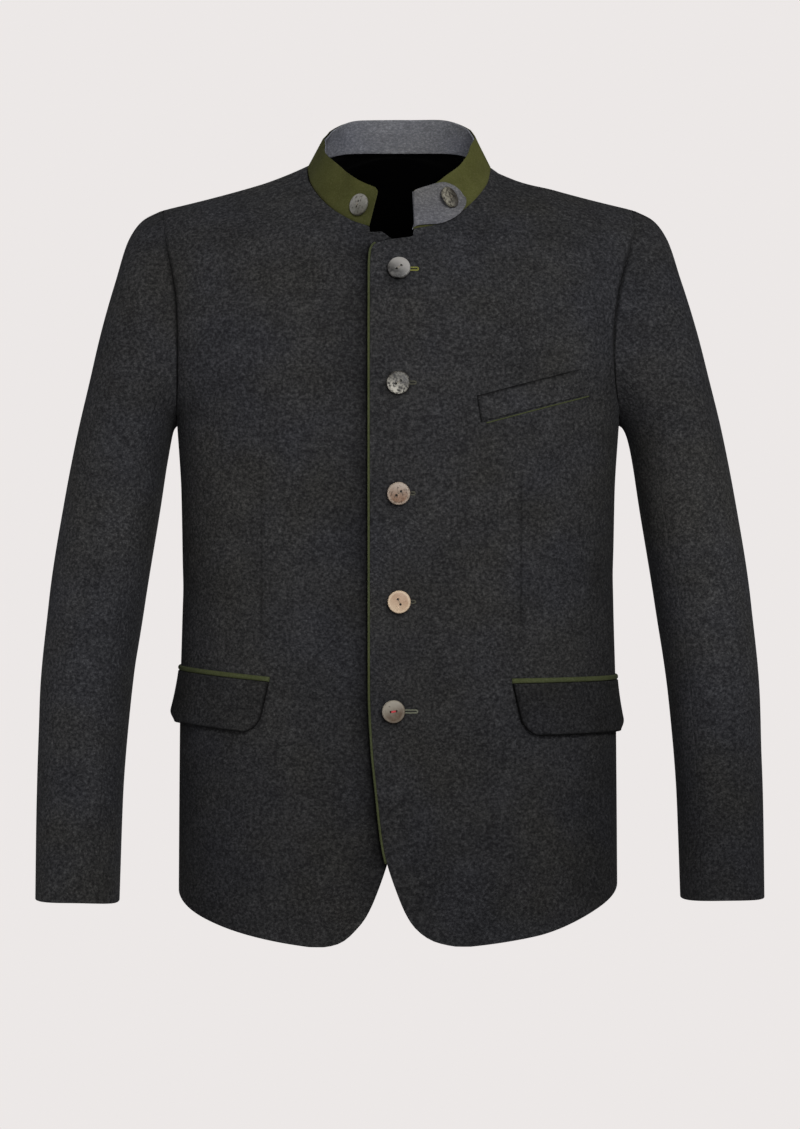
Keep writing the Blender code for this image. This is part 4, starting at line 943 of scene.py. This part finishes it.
# %% Collar surface
COLLAR_FELT, COLLAR_LINING, COLLAR_GAP = 0.0016, 0.0014, 0.0002
COLLAR_HEIGHT, FELT_TOP = 0.036, 0.965
LINING_LOWER, LINING_INSET = 0.055, 0.0014
NECK_AXIS = np.array((0.0, -0.008, 0.0))
COLLAR = table(
    "level degrees left right", (0.00, 19.0, 0.0355, 0.0355), (0.20, 22.0, 0.0355, 0.0355),
    (0.42, 29.0, 0.0355, 0.0355), (0.65, 27.0, 0.0378, 0.0378), (0.80, 24.0, 0.0425, 0.0415),
    (0.92, 15.0, 0.0400, 0.0420), (1.00, 7.0, 0.0365, 0.0420))
LEAN_LEFT, LEAN_BEHIND, LEAN_RIGHT = 6.0, -4.0, -7.5
COLLAR_CORNER, END_SLANT, SLANT_RUN = 0.0045, 0.0085, 0.030
END_TUCK, TUCK_TOP, END_RUN = 0.0030, 0.12, 0.012
SIDE_SHIFT, SEAT_OUT, SEAT_UP = 0.0022, 0.0007, 0.0003
FOOT_IN, FOOT_IN_LESS, FOOT_DROP, FOOT_DROP_LESS = 0.0018, 0.0016, 0.0025, 0.0009
FOOT_TOP, FOOT_ARC, COLLAR_DARK = 0.05, 1.3, 0.28


def neckline():
    """Points of the neckline from the right collar end round the back to the left one, and its length."""
    left, right = (FRONTS[side][1][FRONTS[side][0] >= NECK_END[side] - TINY, 0] for side in MIRROR)
    rear, other = half[-1, BACK_NECK_COLUMNS], MIRROR["right"]
    chain = np.concatenate([right * other, rear[-2:0:-1] * other, rear[:-1], left[::-1]])
    length = ways(chain, 0)[-1]
    edge = COLLAR_FELT / 2 / length
    return chain_at(way_along(chain), chain, close_rows(np.linspace(0.0, 1.0, 150), edge, edge)), length


def lean_more(spread, x):
    """Degrees added to the lean of the cut: more on the left side, less behind it and on the right side."""
    more = LEAN_LEFT * ramp(spread, 0.44, 0.08) * (1 - ramp(spread, 0.62, 0.25))
    more = more + LEAN_BEHIND * ramp(x, 0.01, 0.05) * (1 - ramp(spread, 0.40, 0.12))
    return np.where(x > 0, more, LEAN_RIGHT * bell(spread - 0.655, 0.08))


def on_grid(values):
    """Values along the neckline in the shape of a grid of points."""
    return values[None, :, None]


def collar_grid(parts, footed=True, lower=0.0, inset=0.0):
    """Points and normals of the collar's outside: from each neckline point a line leans up to its height."""
    base, unused = neckline()
    along = ways(base, 0)
    middle, left_along = along[np.argmax(base[:, 1])], along[-1] - along
    spread = np.where(along < middle, (middle - along) / middle, (along - middle) / (along[-1] - middle))
    lean = on_grid(np.radians(read(COLLAR, "degrees", spread) + lean_more(spread, base[:, 0])))
    inward = unit((NECK_AXIS - base) * FLAT)[None]
    height = np.where(along < middle, read(COLLAR, "right", spread), read(COLLAR, "left", spread))
    short = np.maximum(COLLAR_CORNER - along, 0.0)
    height = on_grid(height - COLLAR_CORNER + np.sqrt(COLLAR_CORNER ** 2 - short ** 2))
    part = parts[:, None, None] * on_grid(1 - lower * ramp(spread, 0.30, 0.25))
    slant = END_SLANT * part * on_grid(1 - ease(along / SLANT_RUN))
    slant = slant - inset * on_grid(1 - ease(along / END_RUN))
    tuck = END_TUCK * footed * ease(part / TUCK_TOP) * on_grid(1 - ease(left_along / END_RUN))
    slope = inward * np.sin(lean) + UP * np.cos(lean)
    base = base + SIDE_SHIFT * ASIDE * ramp(base[:, :1], 0.045, 0.04)
    points = base[None] - SEAT_OUT * inward + SEAT_UP * UP + slope * part * height
    points = points + unit(base[0] - base[3]) * slant + unit(base[-4] - base[-1]) * tuck
    sewn = on_grid(ease(along / END_RUN) * ease(left_along / END_RUN))
    rear, arc = (on_grid(1 - ramp(spread, start, run)) for start, run in ((0.30, 0.20), (0.05, 0.50)))
    drop = FOOT_DROP - FOOT_DROP_LESS * rear - inset * (1 + FOOT_ARC * arc)
    foot = (1 - ease(part / FOOT_TOP)) * ((FOOT_IN - FOOT_IN_LESS * rear) * inward - drop * UP) * sewn
    return points + foot * footed, grid_normals(points, -inward + 0 * points)


def collar_rows(top, thickness):
    """Parts of the collar's height, close together at the foot and at the top edge."""
    edge = thickness / 2 / COLLAR_HEIGHT
    return close_rows(np.linspace(0.0, top, 18), edge, edge)


print("Collar length in mm:", round(1000 * neckline()[1]))

# %% Make the collar
felt_points, felt_normals = collar_grid(collar_rows(FELT_TOP, COLLAR_FELT))
# Painted shade on the felt, darkest toward the wearer's right end
hollow = COLLAR_DARK * (1 - ramp(felt_points[..., 0], -0.03, 0.08))
made = shell("collar_felt", felt_points, felt_normals, -COLLAR_FELT, 0.0, FELT, hollow=hollow)
collar = dress(made, "green_felt", "collar_outer")
lining_points, lining_normals = collar_grid(
    collar_rows(1.0, COLLAR_LINING), lower=LINING_LOWER, inset=LINING_INSET)
depth = COLLAR_FELT + COLLAR_GAP
made = shell("collar_lining", lining_points, lining_normals, -depth - COLLAR_LINING, -depth, LINING_PAINTED_LIGHT,
             shade_inside=False)
inner_collar = dress(made, "collar_grey", "collar_inner")
print("Collar grid:", felt_points.shape[:2])

# %% [markdown]
# ## The collar tab
#
# The left collar end is folded back over itself and buttoned, so that its grey side shows as a tab with a
# round end. The tab is read from the collar's own surface and laid on it.

# %% Make the collar tab
TAB_CLOTH, TAB_SEAT, TAB_LIFT, FOLD_IN = 0.0016, 0.0006, 0.0024, 0.0003
TAB = table(
    "level low high", (0.0000, 0.045, 0.985), (0.0140, 0.020, 0.985), (0.0240, -0.020, 0.980),
    (0.0325, -0.055, 0.940), (0.0425, -0.065, 0.860), (0.0487, -0.045, 0.770), (0.0554, 0.000, 0.640),
    (0.0587, 0.045, 0.545), (0.0616, 0.120, 0.430), (0.0630, 0.220, 0.320))


def collar_at(distance, part):
    """Points of the collar's outer surface at distances from its left end and parts of its height."""
    rows = np.linspace(0.0, 1.0, 12)
    points, unused = collar_grid(rows, footed=False)
    base, unused = neckline()
    along = ways(base + FOLD_IN * unit((NECK_AXIS - base) * FLAT), 0)
    at = np.stack([chain_at(along[-1] - along[::-1], row[::-1], distance.ravel()) for row in points])
    place = (part.ravel() - rows[0]) / (rows[1] - rows[0])
    k = np.clip(place.astype(int), 0, len(rows) - 2)
    t, column = (place - k)[:, None], np.arange(distance.size)
    return (at[k, column] * (1 - t) + at[k + 1, column] * t).reshape(*distance.shape, 3)


def outward_of_neck(points):
    """Direction away from the neck's axis."""
    return (points - NECK_AXIS) * FLAT


place = close_rows(TAB["level"][-1] * np.sin(np.linspace(0.0, math.pi / 2, 40)), 0.0008, 0.00004)[None]
across = close_rows(np.linspace(0.0, 1.0, 24), 0.022, 0.022)[:, None]
low, high = read(TAB, "low", place), read(TAB, "high", place)
tab_points = collar_at(place + 0 * across, low + (high - low) * across)
tab_normals = grid_normals(tab_points, outward_of_neck(tab_points))
lift = TAB_SEAT + TAB_LIFT * ramp(place, 0.020, 0.025) * (1 - across) ** 2 + 0 * across
made = shell("collar_tab_cloth", tab_points, tab_normals, lift, lift + TAB_CLOTH, TAB_WOOL, shade_inside=False)
tab = dress(made, "collar_grey", "collar_tab")
print("Tab grid:", tab_points.shape[:2])

# %% [markdown]
# ## Pocket flaps and their piping
#
# Each flap is cut on the front's own surface, with a large round corner in front and a smaller one behind. It
# stands off a little more toward its lower edge. A strip of felt is caught in the seam above it.

# %% Flap surface
FLAP_CLOTH, FLAP_HEIGHT, FLAP_WIDTH = 0.0022, 0.049, 0.160
FLAP_LEVEL, FLAP_REAR, REAR_RADIUS = 0.31, math.radians(95), 0.126
FLAP_SLANT, FLAP_FRONT_CORNER, FLAP_REAR_CORNER = 0.010, 0.017, 0.013
# The dark key of each flap is a share of painted shade over the whole flap
FLAPS = {
    "left": {"front_x": 0.1070, "front_z": -0.4948, "rear_z": -0.4940, "flare": 0.0050,
             "wave": 1.0, "dark": 0.47},
    "right": {"front_x": 0.1205, "front_z": -0.4935, "rear_z": -0.4850, "flare": 0.0080,
              "wave": 2.4, "dark": 0.34}}
FLAP_SEAT, FLAP_LIFT, FLAP_WAVE = 0.0003, 0.0026, 0.0005
# Painted shadow along the lower and front edges of a flap, and at the end of the welt
RIM_DARK, RIM_REACH = 0.60, 0.0016
FLAP_PIPING_UP, FLAP_PIPING_OUT, FLAP_PIPING_SIZE = 0.0028, 0.0008, (0.0024, 0.0019)


def level_at(side, angle_at, z):
    """Level at which a front reaches a height, found by halving the range forty times."""
    low, high = np.zeros(np.shape(z)), np.ones(np.shape(z))
    for unused in range(40):
        level = (low + high) / 2
        under = torso("front", side, level, angle_at(level))[..., 2] < z
        low, high = np.where(under, level, low), np.where(under, high, level)
    return (low + high) / 2


def corner(down, radius):
    """How far a round corner draws an edge in: the gap between a quarter circle and its square."""
    past = np.maximum(down - (FLAP_HEIGHT - radius), 0.0)
    return radius - np.sqrt(np.maximum(radius ** 2 - past ** 2, 0.0))


def flap_seat(side, down, along, round_corners):
    """Points and normals of the front under a flap, at distances down from its upper edge."""
    spec = FLAPS[side]
    drawn_in = FLAP_SLANT * down / FLAP_HEIGHT + corner(down, FLAP_FRONT_CORNER)
    first_x = (spec["front_x"] + round_corners * drawn_in) / read(GIRTH, "half_width", FLAP_LEVEL)
    first = np.arcsin(first_x ** (ROUNDNESS / 2))
    last = FLAP_REAR - round_corners * corner(down, FLAP_REAR_CORNER) / REAR_RADIUS
    angle = first + (last - first) * along
    reach = np.sin(np.minimum(angle, math.pi / 2)) ** (2 / ROUNDNESS)
    share = np.clip((reach - reach[:1, :1]) / (1 - reach[:1, :1]), 0.0, 1.0)
    z = spec["front_z"] + (spec["rear_z"] - spec["front_z"]) * share - down
    return front(side, level_at(side, lambda unused: angle, z), angle)


def flap_lift(spec, part, along):
    """Height of a flap over the front: more toward its lower edge, flared behind, with a slow wave."""
    flare = part ** 1.2 * np.sqrt(1 - 0.92 * ramp(part, 0.76, 0.24)) * ramp(along, 0.55, 0.45)
    curl = 1 - 0.75 * ramp(part, 0.80, 0.20) * ramp(along, 0.70, 0.25)
    wave = FLAP_WAVE * part * np.sin(7.0 * along + spec["wave"])
    return FLAP_SEAT + FLAP_LIFT * part ** 2 * curl + spec["flare"] * flare + wave


print("Flap height in mm:", round(1000 * FLAP_HEIGHT))

# %% Make the flaps
flaps = {}
for side, mirror in MIRROR.items():
    along = close_rows(np.linspace(0.0, 1.0, 44), 0.009, 0.009)[None]
    part = close_rows(np.sin(np.linspace(0.0, math.pi / 2, 26)), 0.022, 0.0006)[:, None]
    seat, seat_normals = flap_seat(side, part * FLAP_HEIGHT, along, 1.0)
    lift = flap_lift(FLAPS[side], part, along)
    rim = np.minimum((1 - part) * FLAP_HEIGHT, along * FLAP_WIDTH)
    made = shell("pocket_flap_%s_cloth" % side, seat * mirror, seat_normals * mirror, lift, lift + FLAP_CLOTH,
                 WOOL, hollow=FLAPS[side]["dark"] + RIM_DARK * bell(rim, RIM_REACH))
    flaps[side] = dress(made, "wool", "pocket_flap_" + side)
    path, out = flap_seat(side, np.array([[-FLAP_PIPING_UP]]), np.linspace(0.0, 1.0, 60)[None], 0.0)
    path, out = path[0] * mirror, out[0] * mirror
    made = bar("flap_piping_%s_felt" % side, path + out * FLAP_PIPING_OUT, across_path(path, out), out,
               *FLAP_PIPING_SIZE, 14, PIPING)
    dress(made, "green_felt", "flap_piping_" + side)
print("Flap grid:", seat.shape[:2])

# %% [markdown]
# ## Piping on the front edge
#
# Piping is a narrow strip of felt, folded over and sewn between the two layers of an edge. Here it is a soft
# round bar carried along the edge of the left front, up round its top corner.

# %% Make the front piping
PIPING_RADIUS, PIPING_OUT = 0.0012, 0.8
PIPING_START, PIPING_STOP, INNER_COLUMN = 0.133, 0.838, 6
level, points, normals, unused = FRONTS["left"]
chosen = (level > PIPING_START) & (level < PIPING_STOP)
edge, edge_normals, within = points[chosen, 0], normals[chosen, 0], points[chosen, INNER_COLUMN]
sideways = across_path(edge, edge_normals)
sideways = sideways * -np.sign(np.sum(sideways * (within - edge), axis=1, keepdims=True))
path = edge - edge_normals * EDGE + sideways * PIPING_RADIUS * PIPING_OUT
made = bar("front_piping_felt", path, sideways, edge_normals, PIPING_RADIUS, PIPING_RADIUS, 12, PIPING)
dress(made, "green_felt", "front_piping")
print("Piping length in mm:", round(1000 * float(ways(path, 0)[-1])))

# %% [markdown]
# ## The chest pocket
#
# The breast pocket opens along the top of a slanting welt, a folded band of cloth that stands up from its
# seam. A fine olive piping lies in that seam.

# %% Make the chest pocket
WELT_CLOTH, WELT_WIDTH, WELT_HEIGHT = 0.0018, 0.0980, 0.0245
WELT_X, WELT_Z, WELT_RISE, WELT_LEAN = 0.0735, -0.2500, 0.0268, 0.004
WELT_LIFT, WELT_SUNK = 0.0004, 0.0003
# Painted shadow of the pocket mouth along the welt's top edge: its share and reach
TOP_DARK, TOP_REACH = 0.72, 0.0022
CHEST_PIPING_ASIDE, CHEST_PIPING_DOWN = 0.005, 0.0009
CHEST_PIPING_OUT, CHEST_PIPING_RADIUS = 0.0002, 0.0006


def front_at(side, x, z):
    """Points and normals of a front at sideways places and heights."""
    x, z = np.broadcast_arrays(np.asarray(x, dtype=float), np.asarray(z, dtype=float))

    def angle_at(level):
        """Angle at which the row of a level reaches the sideways place."""
        return np.arcsin(np.clip(power(x / torso_rows("front", level)[3], ROUNDNESS / 2), -1, 1))
    level = level_at(side, angle_at, z)
    return front(side, level, angle_at(level))


along = close_rows(np.linspace(0.0, 1.0, 44), 0.009, 0.009)[None]
part = close_rows(np.linspace(0.0, 1.0, 16), 0.036, 0.036)[:, None]
welt_x = WELT_X + WELT_WIDTH * along + WELT_LEAN * (1 - part)
welt_z = WELT_Z + WELT_RISE * along
welt_seat, welt_normals = front_at("left", welt_x, welt_z + WELT_HEIGHT * part)
lift = WELT_LIFT * (1 - ramp(along, 0.80, 0.20)) + WELT_LIFT * part + 0 * along
# Painted shade: slowly down the body, a painted shadow of the pocket mouth along the top edge, and at the end
top_dark = TOP_DARK * bell((1 - part) * WELT_HEIGHT, TOP_REACH) * (1 - 0.6 * ramp(along, 0.85, 0.15))
end_dark = RIM_DARK * bell(along * WELT_WIDTH, RIM_REACH) + 0 * part
hollow = shade(welt_z) + np.maximum(top_dark, end_dark)
welt = shell("chest_welt_cloth", welt_seat, welt_normals, lift - WELT_SUNK, lift + WELT_CLOTH, WOOL,
             hollow=hollow)
dress(welt, "wool", "chest_welt")
path, out = front_at("left", welt_x[0] + CHEST_PIPING_ASIDE, welt_z[0] - CHEST_PIPING_DOWN)
made = bar("chest_piping_felt", path + out * CHEST_PIPING_OUT, across_path(path, out), out,
           CHEST_PIPING_RADIUS, CHEST_PIPING_RADIUS, 10, PIPING)
dress(made, "green_felt", "chest_piping")
print("Welt grid:", welt_seat.shape[:2])

# %% [markdown]
# ## Horn buttons
#
# Stag-horn buttons are sawn from antler, so no two are alike: some stay grey and smooth, some show the dark
# pores of the core, some are warm and cream. One turned shape serves for all seven: a profile carried round
# an axis, with two pits pressed into it for the holes. Each button has its own horn.

# %% Horn and thread
# Painted shade in the pits of the button holes
PIT_DARK = (0.006, 0.005, 0.004, 1.0)
# The slit tone is no thread: it is the near-black of painted shade in a buttonhole's cut
THREAD_TONES = {"olive": (128, 128, 62), "grey": (80, 79, 68), "pale": (112, 114, 98),
                "horn": (136, 126, 110), "red": (205, 72, 78), "slit": (20, 20, 16)}
PORE = (48, 42, 34)
# Each row: pale, brown-and-shade and pore colour, threshold of the pores, direction of the darker side in
# degrees, how far from the middle it is half dark as a share of the radius, how softly, and what share of the
# darkening the rim loses. The darker side is partly the horn's own brown and partly painted shade away from
# the light; the lighter rim is partly the horn's polish and partly a painted highlight
LOOKS = {
    "front_button_1": ((150, 147, 143), (20, 18, 16), PORE, 0.80, 240.0, -0.05, 0.72, 0.0),
    "front_button_2": ((180, 176, 165), (64, 61, 55), (30, 28, 26), 0.45, 60.0, -0.22, 0.60, 0.0),
    "front_button_3": ((158, 144, 130), (126, 98, 79), (62, 46, 32), 0.54, -90.0, -0.30, 0.80, 0.8),
    "front_button_4": ((206, 183, 156), (168, 138, 112), (104, 84, 60), 0.62, 60.0, -0.45, 0.80, 0.8),
    "front_button_5": ((138, 131, 118), (82, 66, 52), PORE, 0.63, -60.0, -0.10, 0.70, 0.3),
    "collar_button_left": ((128, 124, 111), (36, 29, 18), (30, 22, 13), 0.47, 0.0, -0.12, 0.60, 0.0),
    "collar_button_right": ((132, 130, 124), (78, 76, 68), PORE, 0.53, -90.0, -0.05, 0.70, 0.0)}


def thread(name, tone):
    """Sewing thread: a slightly glossy colour with twisted stripes along its own UV map."""
    made, tree, shader, unused = fresh(name, 0.7, Specular_IOR_Level=0.3)
    uv = add(tree, "TexCoord").outputs["UV"]
    twist = add(tree, "Mapping", Vector=uv, Scale=(1600.0, 2.0, 1.0)).outputs[0]
    stripes = add(tree, "TexWave", Vector=twist, Scale=0.35, Distortion=1.0).outputs[0]
    darker = tuple(value * 0.55 for value in tone[:3]) + (1.0,)
    tree.links.new(mix(tree, stripes, darker, tone), shader.inputs["Base Color"])
    return made


def horn(name, pale, brown_and_shade, pore, low):
    """Horn: pale, turned brown and painted-shade dark by a vertex's tint, with dark pores; painted shade
    darkens the pits.
    """
    made, tree, shader, place = fresh(name, 0.45, Specular_IOR_Level=0.4)
    clouds = noise(tree, place, 260.0, low=0.30, high=0.58, detail=3.0, to_low=0.72, to_high=1.0)
    mixed = mix(tree, times(tree, carried(tree, "tint"), clouds), colour(*pale), colour(*brown_and_shade))
    pores = noise(tree, place, 460.0, low=low, high=low + 0.16, detail=3.0)
    mixed = mix(tree, pores, mixed, colour(*pore))
    mixed = mix(tree, carried(tree, "hollow"), mixed, PIT_DARK)
    coat(tree, shader, mixed, clouds, strength=0.3, distance=0.0003)
    return made


THREADS = {name: thread(name + "_thread", colour(*tone)) for name, tone in THREAD_TONES.items()}
print("Horns:", len(LOOKS), "threads:", len(THREADS))

# %% [markdown]
# The profile starts at the middle of the face, goes out over the rounded rim and back along the underside.
# The rings lie closest where the holes are. Two loops of thread hold each button.

# %% Button shape
BUTTON_RADIUS, BUTTON_HEIGHT, RIM, DOME = 0.0107, 0.0044, 0.0014, 0.0008
BUTTON_SIDES, SHANK = 144, 0.0010
HOLE_RADIUS, HOLE_PLACE, HOLE_DEPTH, HOLE_SOFT = 0.00115, 0.0027, 0.0022, 0.00025
FACE_WAVE, OVAL = 0.00008, 0.006
POLISH_HIGHLIGHT_START, POLISH_HIGHLIGHT_RUN = 0.74, 0.14
LOOP_REACH, LOOP_APART, LOOP_DIP = HOLE_PLACE * 0.80, 0.0009, 0.0018
# Half width and half height of a strand
PLAIN_STRAND, RED_STRAND = (0.00022, 0.00010), (0.00060, 0.00045)


def turned(a, b, turn):
    """Places turned about the origin: a cosine less b sine, a sine and b cosine."""
    return a * math.cos(turn) - b * math.sin(turn), a * math.sin(turn) + b * math.cos(turn)


def button_shape(seed):
    """Places of a button's rings and the share of its pits: domed face, round rim, flat back, two holes."""
    flat = BUTTON_RADIUS - RIM
    face = bands((0.0004, 0.0013, 3), (0.0013, 0.0042, 23), (0.0042, flat, 11))
    bend = np.radians(np.linspace(0, 90, 7))[1:]
    radius = np.concatenate([face, flat + RIM * np.sin(bend), flat + RIM * np.cos(bend), (0.006, 0.0004)])
    domed = BUTTON_HEIGHT - DOME * (face / flat) ** 2
    rounded = BUTTON_HEIGHT - DOME - RIM * (1 - np.cos(bend))
    height = np.concatenate([domed, rounded, RIM * (1 - np.sin(bend)), (0.0, 0.0)])
    turn = np.arange(BUTTON_SIDES) * 2 * math.pi / BUTTON_SIDES
    a, b = radius[:, None] * np.cos(turn), radius[:, None] * np.sin(turn)
    away = np.minimum(np.hypot(a - HOLE_PLACE, b), np.hypot(a + HOLE_PLACE, b))
    top = (np.arange(len(radius)) < len(face))[:, None]
    pit = ease((HOLE_RADIUS - away) / HOLE_SOFT) * top
    wave = FACE_WAVE * np.sin(3 * turn + seed) * (radius[:, None] / BUTTON_RADIUS) ** 2
    return a * (1 + OVAL * np.sin(2 * turn + seed)), b, height[:, None] + wave * top - HOLE_DEPTH * pit, pit


print("Rings and sides of a button:", button_shape(0.0)[0].shape)

# %% Make the buttons
def sew_on(name, place, normal, frame_way, turn, seed):
    """Two loops of thread over a button's face, which dip into its holes at both ends."""
    red = name == "front_button_5"
    along = np.linspace(-1.0, 1.0, 25)
    ride_up = BUTTON_HEIGHT - 0.00005 - LOOP_DIP * np.abs(along) ** 8
    for k, off in enumerate((-0.4, 0.4)):
        b = off * LOOP_APART * (1 + 0.2 * np.cos(3 * along + seed))
        path = np.stack([*turned(LOOP_REACH * along, b, turn), ride_up], axis=-1) @ frame_way + place
        tangent = unit(np.gradient(path, axis=0))
        out = unit(normal - tangent * (tangent @ normal)[:, None])
        strand = bar("%s_thread_%d" % (name, k + 1), path, np.cross(out, tangent), out,
                     *(RED_STRAND if red else PLAIN_STRAND), 8, THREADS["red" if red else "horn"])
        dress(strand, "horn")


def button(name, seat, normal, turn, seed):
    """Button on a seat, facing along a normal, with its two holes turned from level, and its thread."""
    pale, brown_and_shade, pore, low, toward, reach, soft, rim = LOOKS[name]
    a, b, c, pit = button_shape(seed)
    level_way = unit(np.cross(UP, normal))
    frame_way = np.stack([level_way, np.cross(normal, level_way), normal])
    h, v = turned(a, b, turn)
    toward = math.radians(toward)
    # The tint darkens one side: partly the horn's brown, partly painted shade on the side away from the light
    tint = (h * math.cos(toward) + v * math.sin(toward)) / BUTTON_RADIUS
    # The rim loses some of that darkening: partly the horn's polish, partly a painted highlight
    polish_and_highlight = ramp(np.hypot(a, b) / BUTTON_RADIUS, POLISH_HIGHLIGHT_START, POLISH_HIGHLIGHT_RUN)
    tint = ramp(tint, reach - soft, 2 * soft) * (1 - rim * polish_and_highlight)
    points, place = np.stack([h, v, c], axis=-1), seat + normal * SHANK
    number = ring_numbers(*a.shape)
    ends = [number[0, :-1].tolist(), number[-1, :-1][::-1].tolist()]
    faces = quads(number)[:, ::-1].tolist() + ends
    made = mesh_object(
        name + "_horn", points.reshape(-1, 3) @ frame_way + place, faces,
        horn(name + "_horn", pale, brown_and_shade, pore, low), points[..., :2].reshape(-1, 2),
        tint=tint.ravel(), hollow=pit.ravel())
    dress(made, "horn", name)
    sew_on(name, place, normal, frame_way, turn, seed)


# Distance from the left collar end, part of the collar's height, height over it, turn of the holes and swing
# of the face to the side in degrees
COLLAR_BUTTONS = {
    "left": (0.0402, 0.44, TAB_SEAT + TAB_CLOTH, 20.0, 22.0), "right": (0.4905, 0.40, 0.0, 75.0, -24.0)}
COLLAR_BUTTON_RISE = 0.0014
seats, seat_normals = front_at("left", FRONT_BUTTONS["x"], FRONT_BUTTONS["z"])
for k, turn in enumerate(np.radians(FRONT_BUTTONS["turn"])):
    button("front_button_%d" % (k + 1), seats[k], seat_normals[k], turn, 1.7 * k)
around = np.array((-1.0, 0.0, 1.0))
for side, (distance, part, above, turn, swing) in COLLAR_BUTTONS.items():
    near = collar_at(distance + 0.004 * around[None] + 0 * around[:, None],
                     part + 0.1 * around[:, None] + 0 * around[None])
    normal = grid_normals(near, outward_of_neck(near))[1, 1]
    seat = near[1, 1] + normal * (above + COLLAR_BUTTON_RISE)
    normal = np.array((*turned(normal[0], normal[1], math.radians(swing)), normal[2]))
    button("collar_button_" + side, seat, normal, math.radians(turn), 4.0 + distance)
print("Buttons made:", len(seats) + len(COLLAR_BUTTONS))

# %% [markdown]
# ## Buttonholes
#
# A buttonhole is a slit whose edges are wrapped with close loops of thread. The button hides most of it, and
# only the end toward the wearer's left shows. The wrapped edge is a bar round the slit whose thickness
# ripples once a stitch.

# %% Make the buttonholes
HOLES = table("level start end", (0, -0.002, 0.0191), (1, -0.002, 0.0168), (2, -0.002, 0.0158),
              (3, -0.002, 0.0163), (4, -0.006, 0.0182))
HOLE_THREADS = ("olive", "grey", "grey", "grey", "pale")
SLIT_HALF, STITCH = 0.0013, 0.0008
HOLE_OUT, SLIT_OUT, RIPPLE = 0.0002, 0.0001, 0.0002
HOLE_WIDE, HOLE_HIGH = 0.00065, 0.0003
SLIT_WIDE, SLIT_HIGH = 0.0008, 0.0002


def stadium(start, end, radius, count):
    """Places round a slit: a rectangle with half-circle ends, sampled evenly by the way round it."""
    bend = np.linspace(-math.pi / 2, math.pi / 2, 40)
    x = np.concatenate([end - radius + radius * np.cos(bend), start + radius - radius * np.cos(bend)])
    z = np.concatenate([radius * np.sin(bend), -radius * np.sin(bend)])
    chain = np.stack([x, z, 0 * x], axis=-1)
    chain = np.concatenate([chain, chain[:1]])
    return chain_at(way_along(chain), chain, np.arange(count) / count)


for k, (start, end, z) in enumerate(zip(HOLES["start"], HOLES["end"], FRONT_BUTTONS["z"])):
    loop = stadium(start, end, SLIT_HALF, 360)
    path, out = front_at("left", loop[:, 0], z + loop[:, 1])
    tangent = unit(np.roll(path, -1, axis=0) - np.roll(path, 1, axis=0))
    round_way = np.linalg.norm(path - np.roll(path, 1, axis=0), axis=1).cumsum()
    ripple = RIPPLE * np.abs(np.sin(math.pi * round_way / STITCH))
    made = bar("buttonhole_%d" % (k + 1), path + out * HOLE_OUT, np.cross(out, tangent), out,
               HOLE_WIDE + ripple, HOLE_HIGH + ripple, 8, THREADS[HOLE_THREADS[k]], closed=True)
    dress(made, "green_felt")
    # A near-black bar along the cut is painted shade inside the buttonhole, drawn with a thread material
    path, out = front_at("left", np.linspace(start + SLIT_HALF, end - SLIT_HALF, 30), z)
    made = bar("buttonhole_slit_%d" % (k + 1), path + out * SLIT_OUT, across_path(path, out), out,
               SLIT_WIDE, SLIT_HIGH, 8, THREADS["slit"])
    dress(made, "wool")
print("Buttonholes made:", len(HOLE_THREADS))

# %% [markdown]
# ## Floor
#
# The jacket hangs free in the photograph. A pale floor lies well below it.

# %% Make the floor
FLOOR_Z, FLOOR_HALF, FLOOR_TONE = -1.25, 1.6, (0.80, 0.78, 0.77, 1.0)
spread = FLOOR_HALF * np.array(((-1, -1), (1, -1), (1, 1), (-1, 1)))
corners = np.concatenate([spread, np.full((4, 1), FLOOR_Z)], axis=1)
pale, tree, shader, place = fresh("pale_floor", 0.9)
shader.inputs["Base Color"].default_value = FLOOR_TONE
floor = mesh_object("floor", corners, [[0, 1, 2, 3]], pale)
print("Floor at", FLOOR_Z)

# %% [markdown]
# ## Area of the cloth
#
# The area of one side of each piece of cloth is printed: the area of its shell, halved because it has two
# faces.

def one_side(made):
    """Half the surface area of a closed shell."""
    area = np.empty(len(made.data.polygons))
    made.data.polygons.foreach_get("area", area)
    return area.sum() / 2


for made in (*fronts.values(), back, *sleeves.values(), *flaps.values(), collar, inner_collar, tab, welt):
    print(made.name, "one side in square metres:", round(one_side(made), 4))
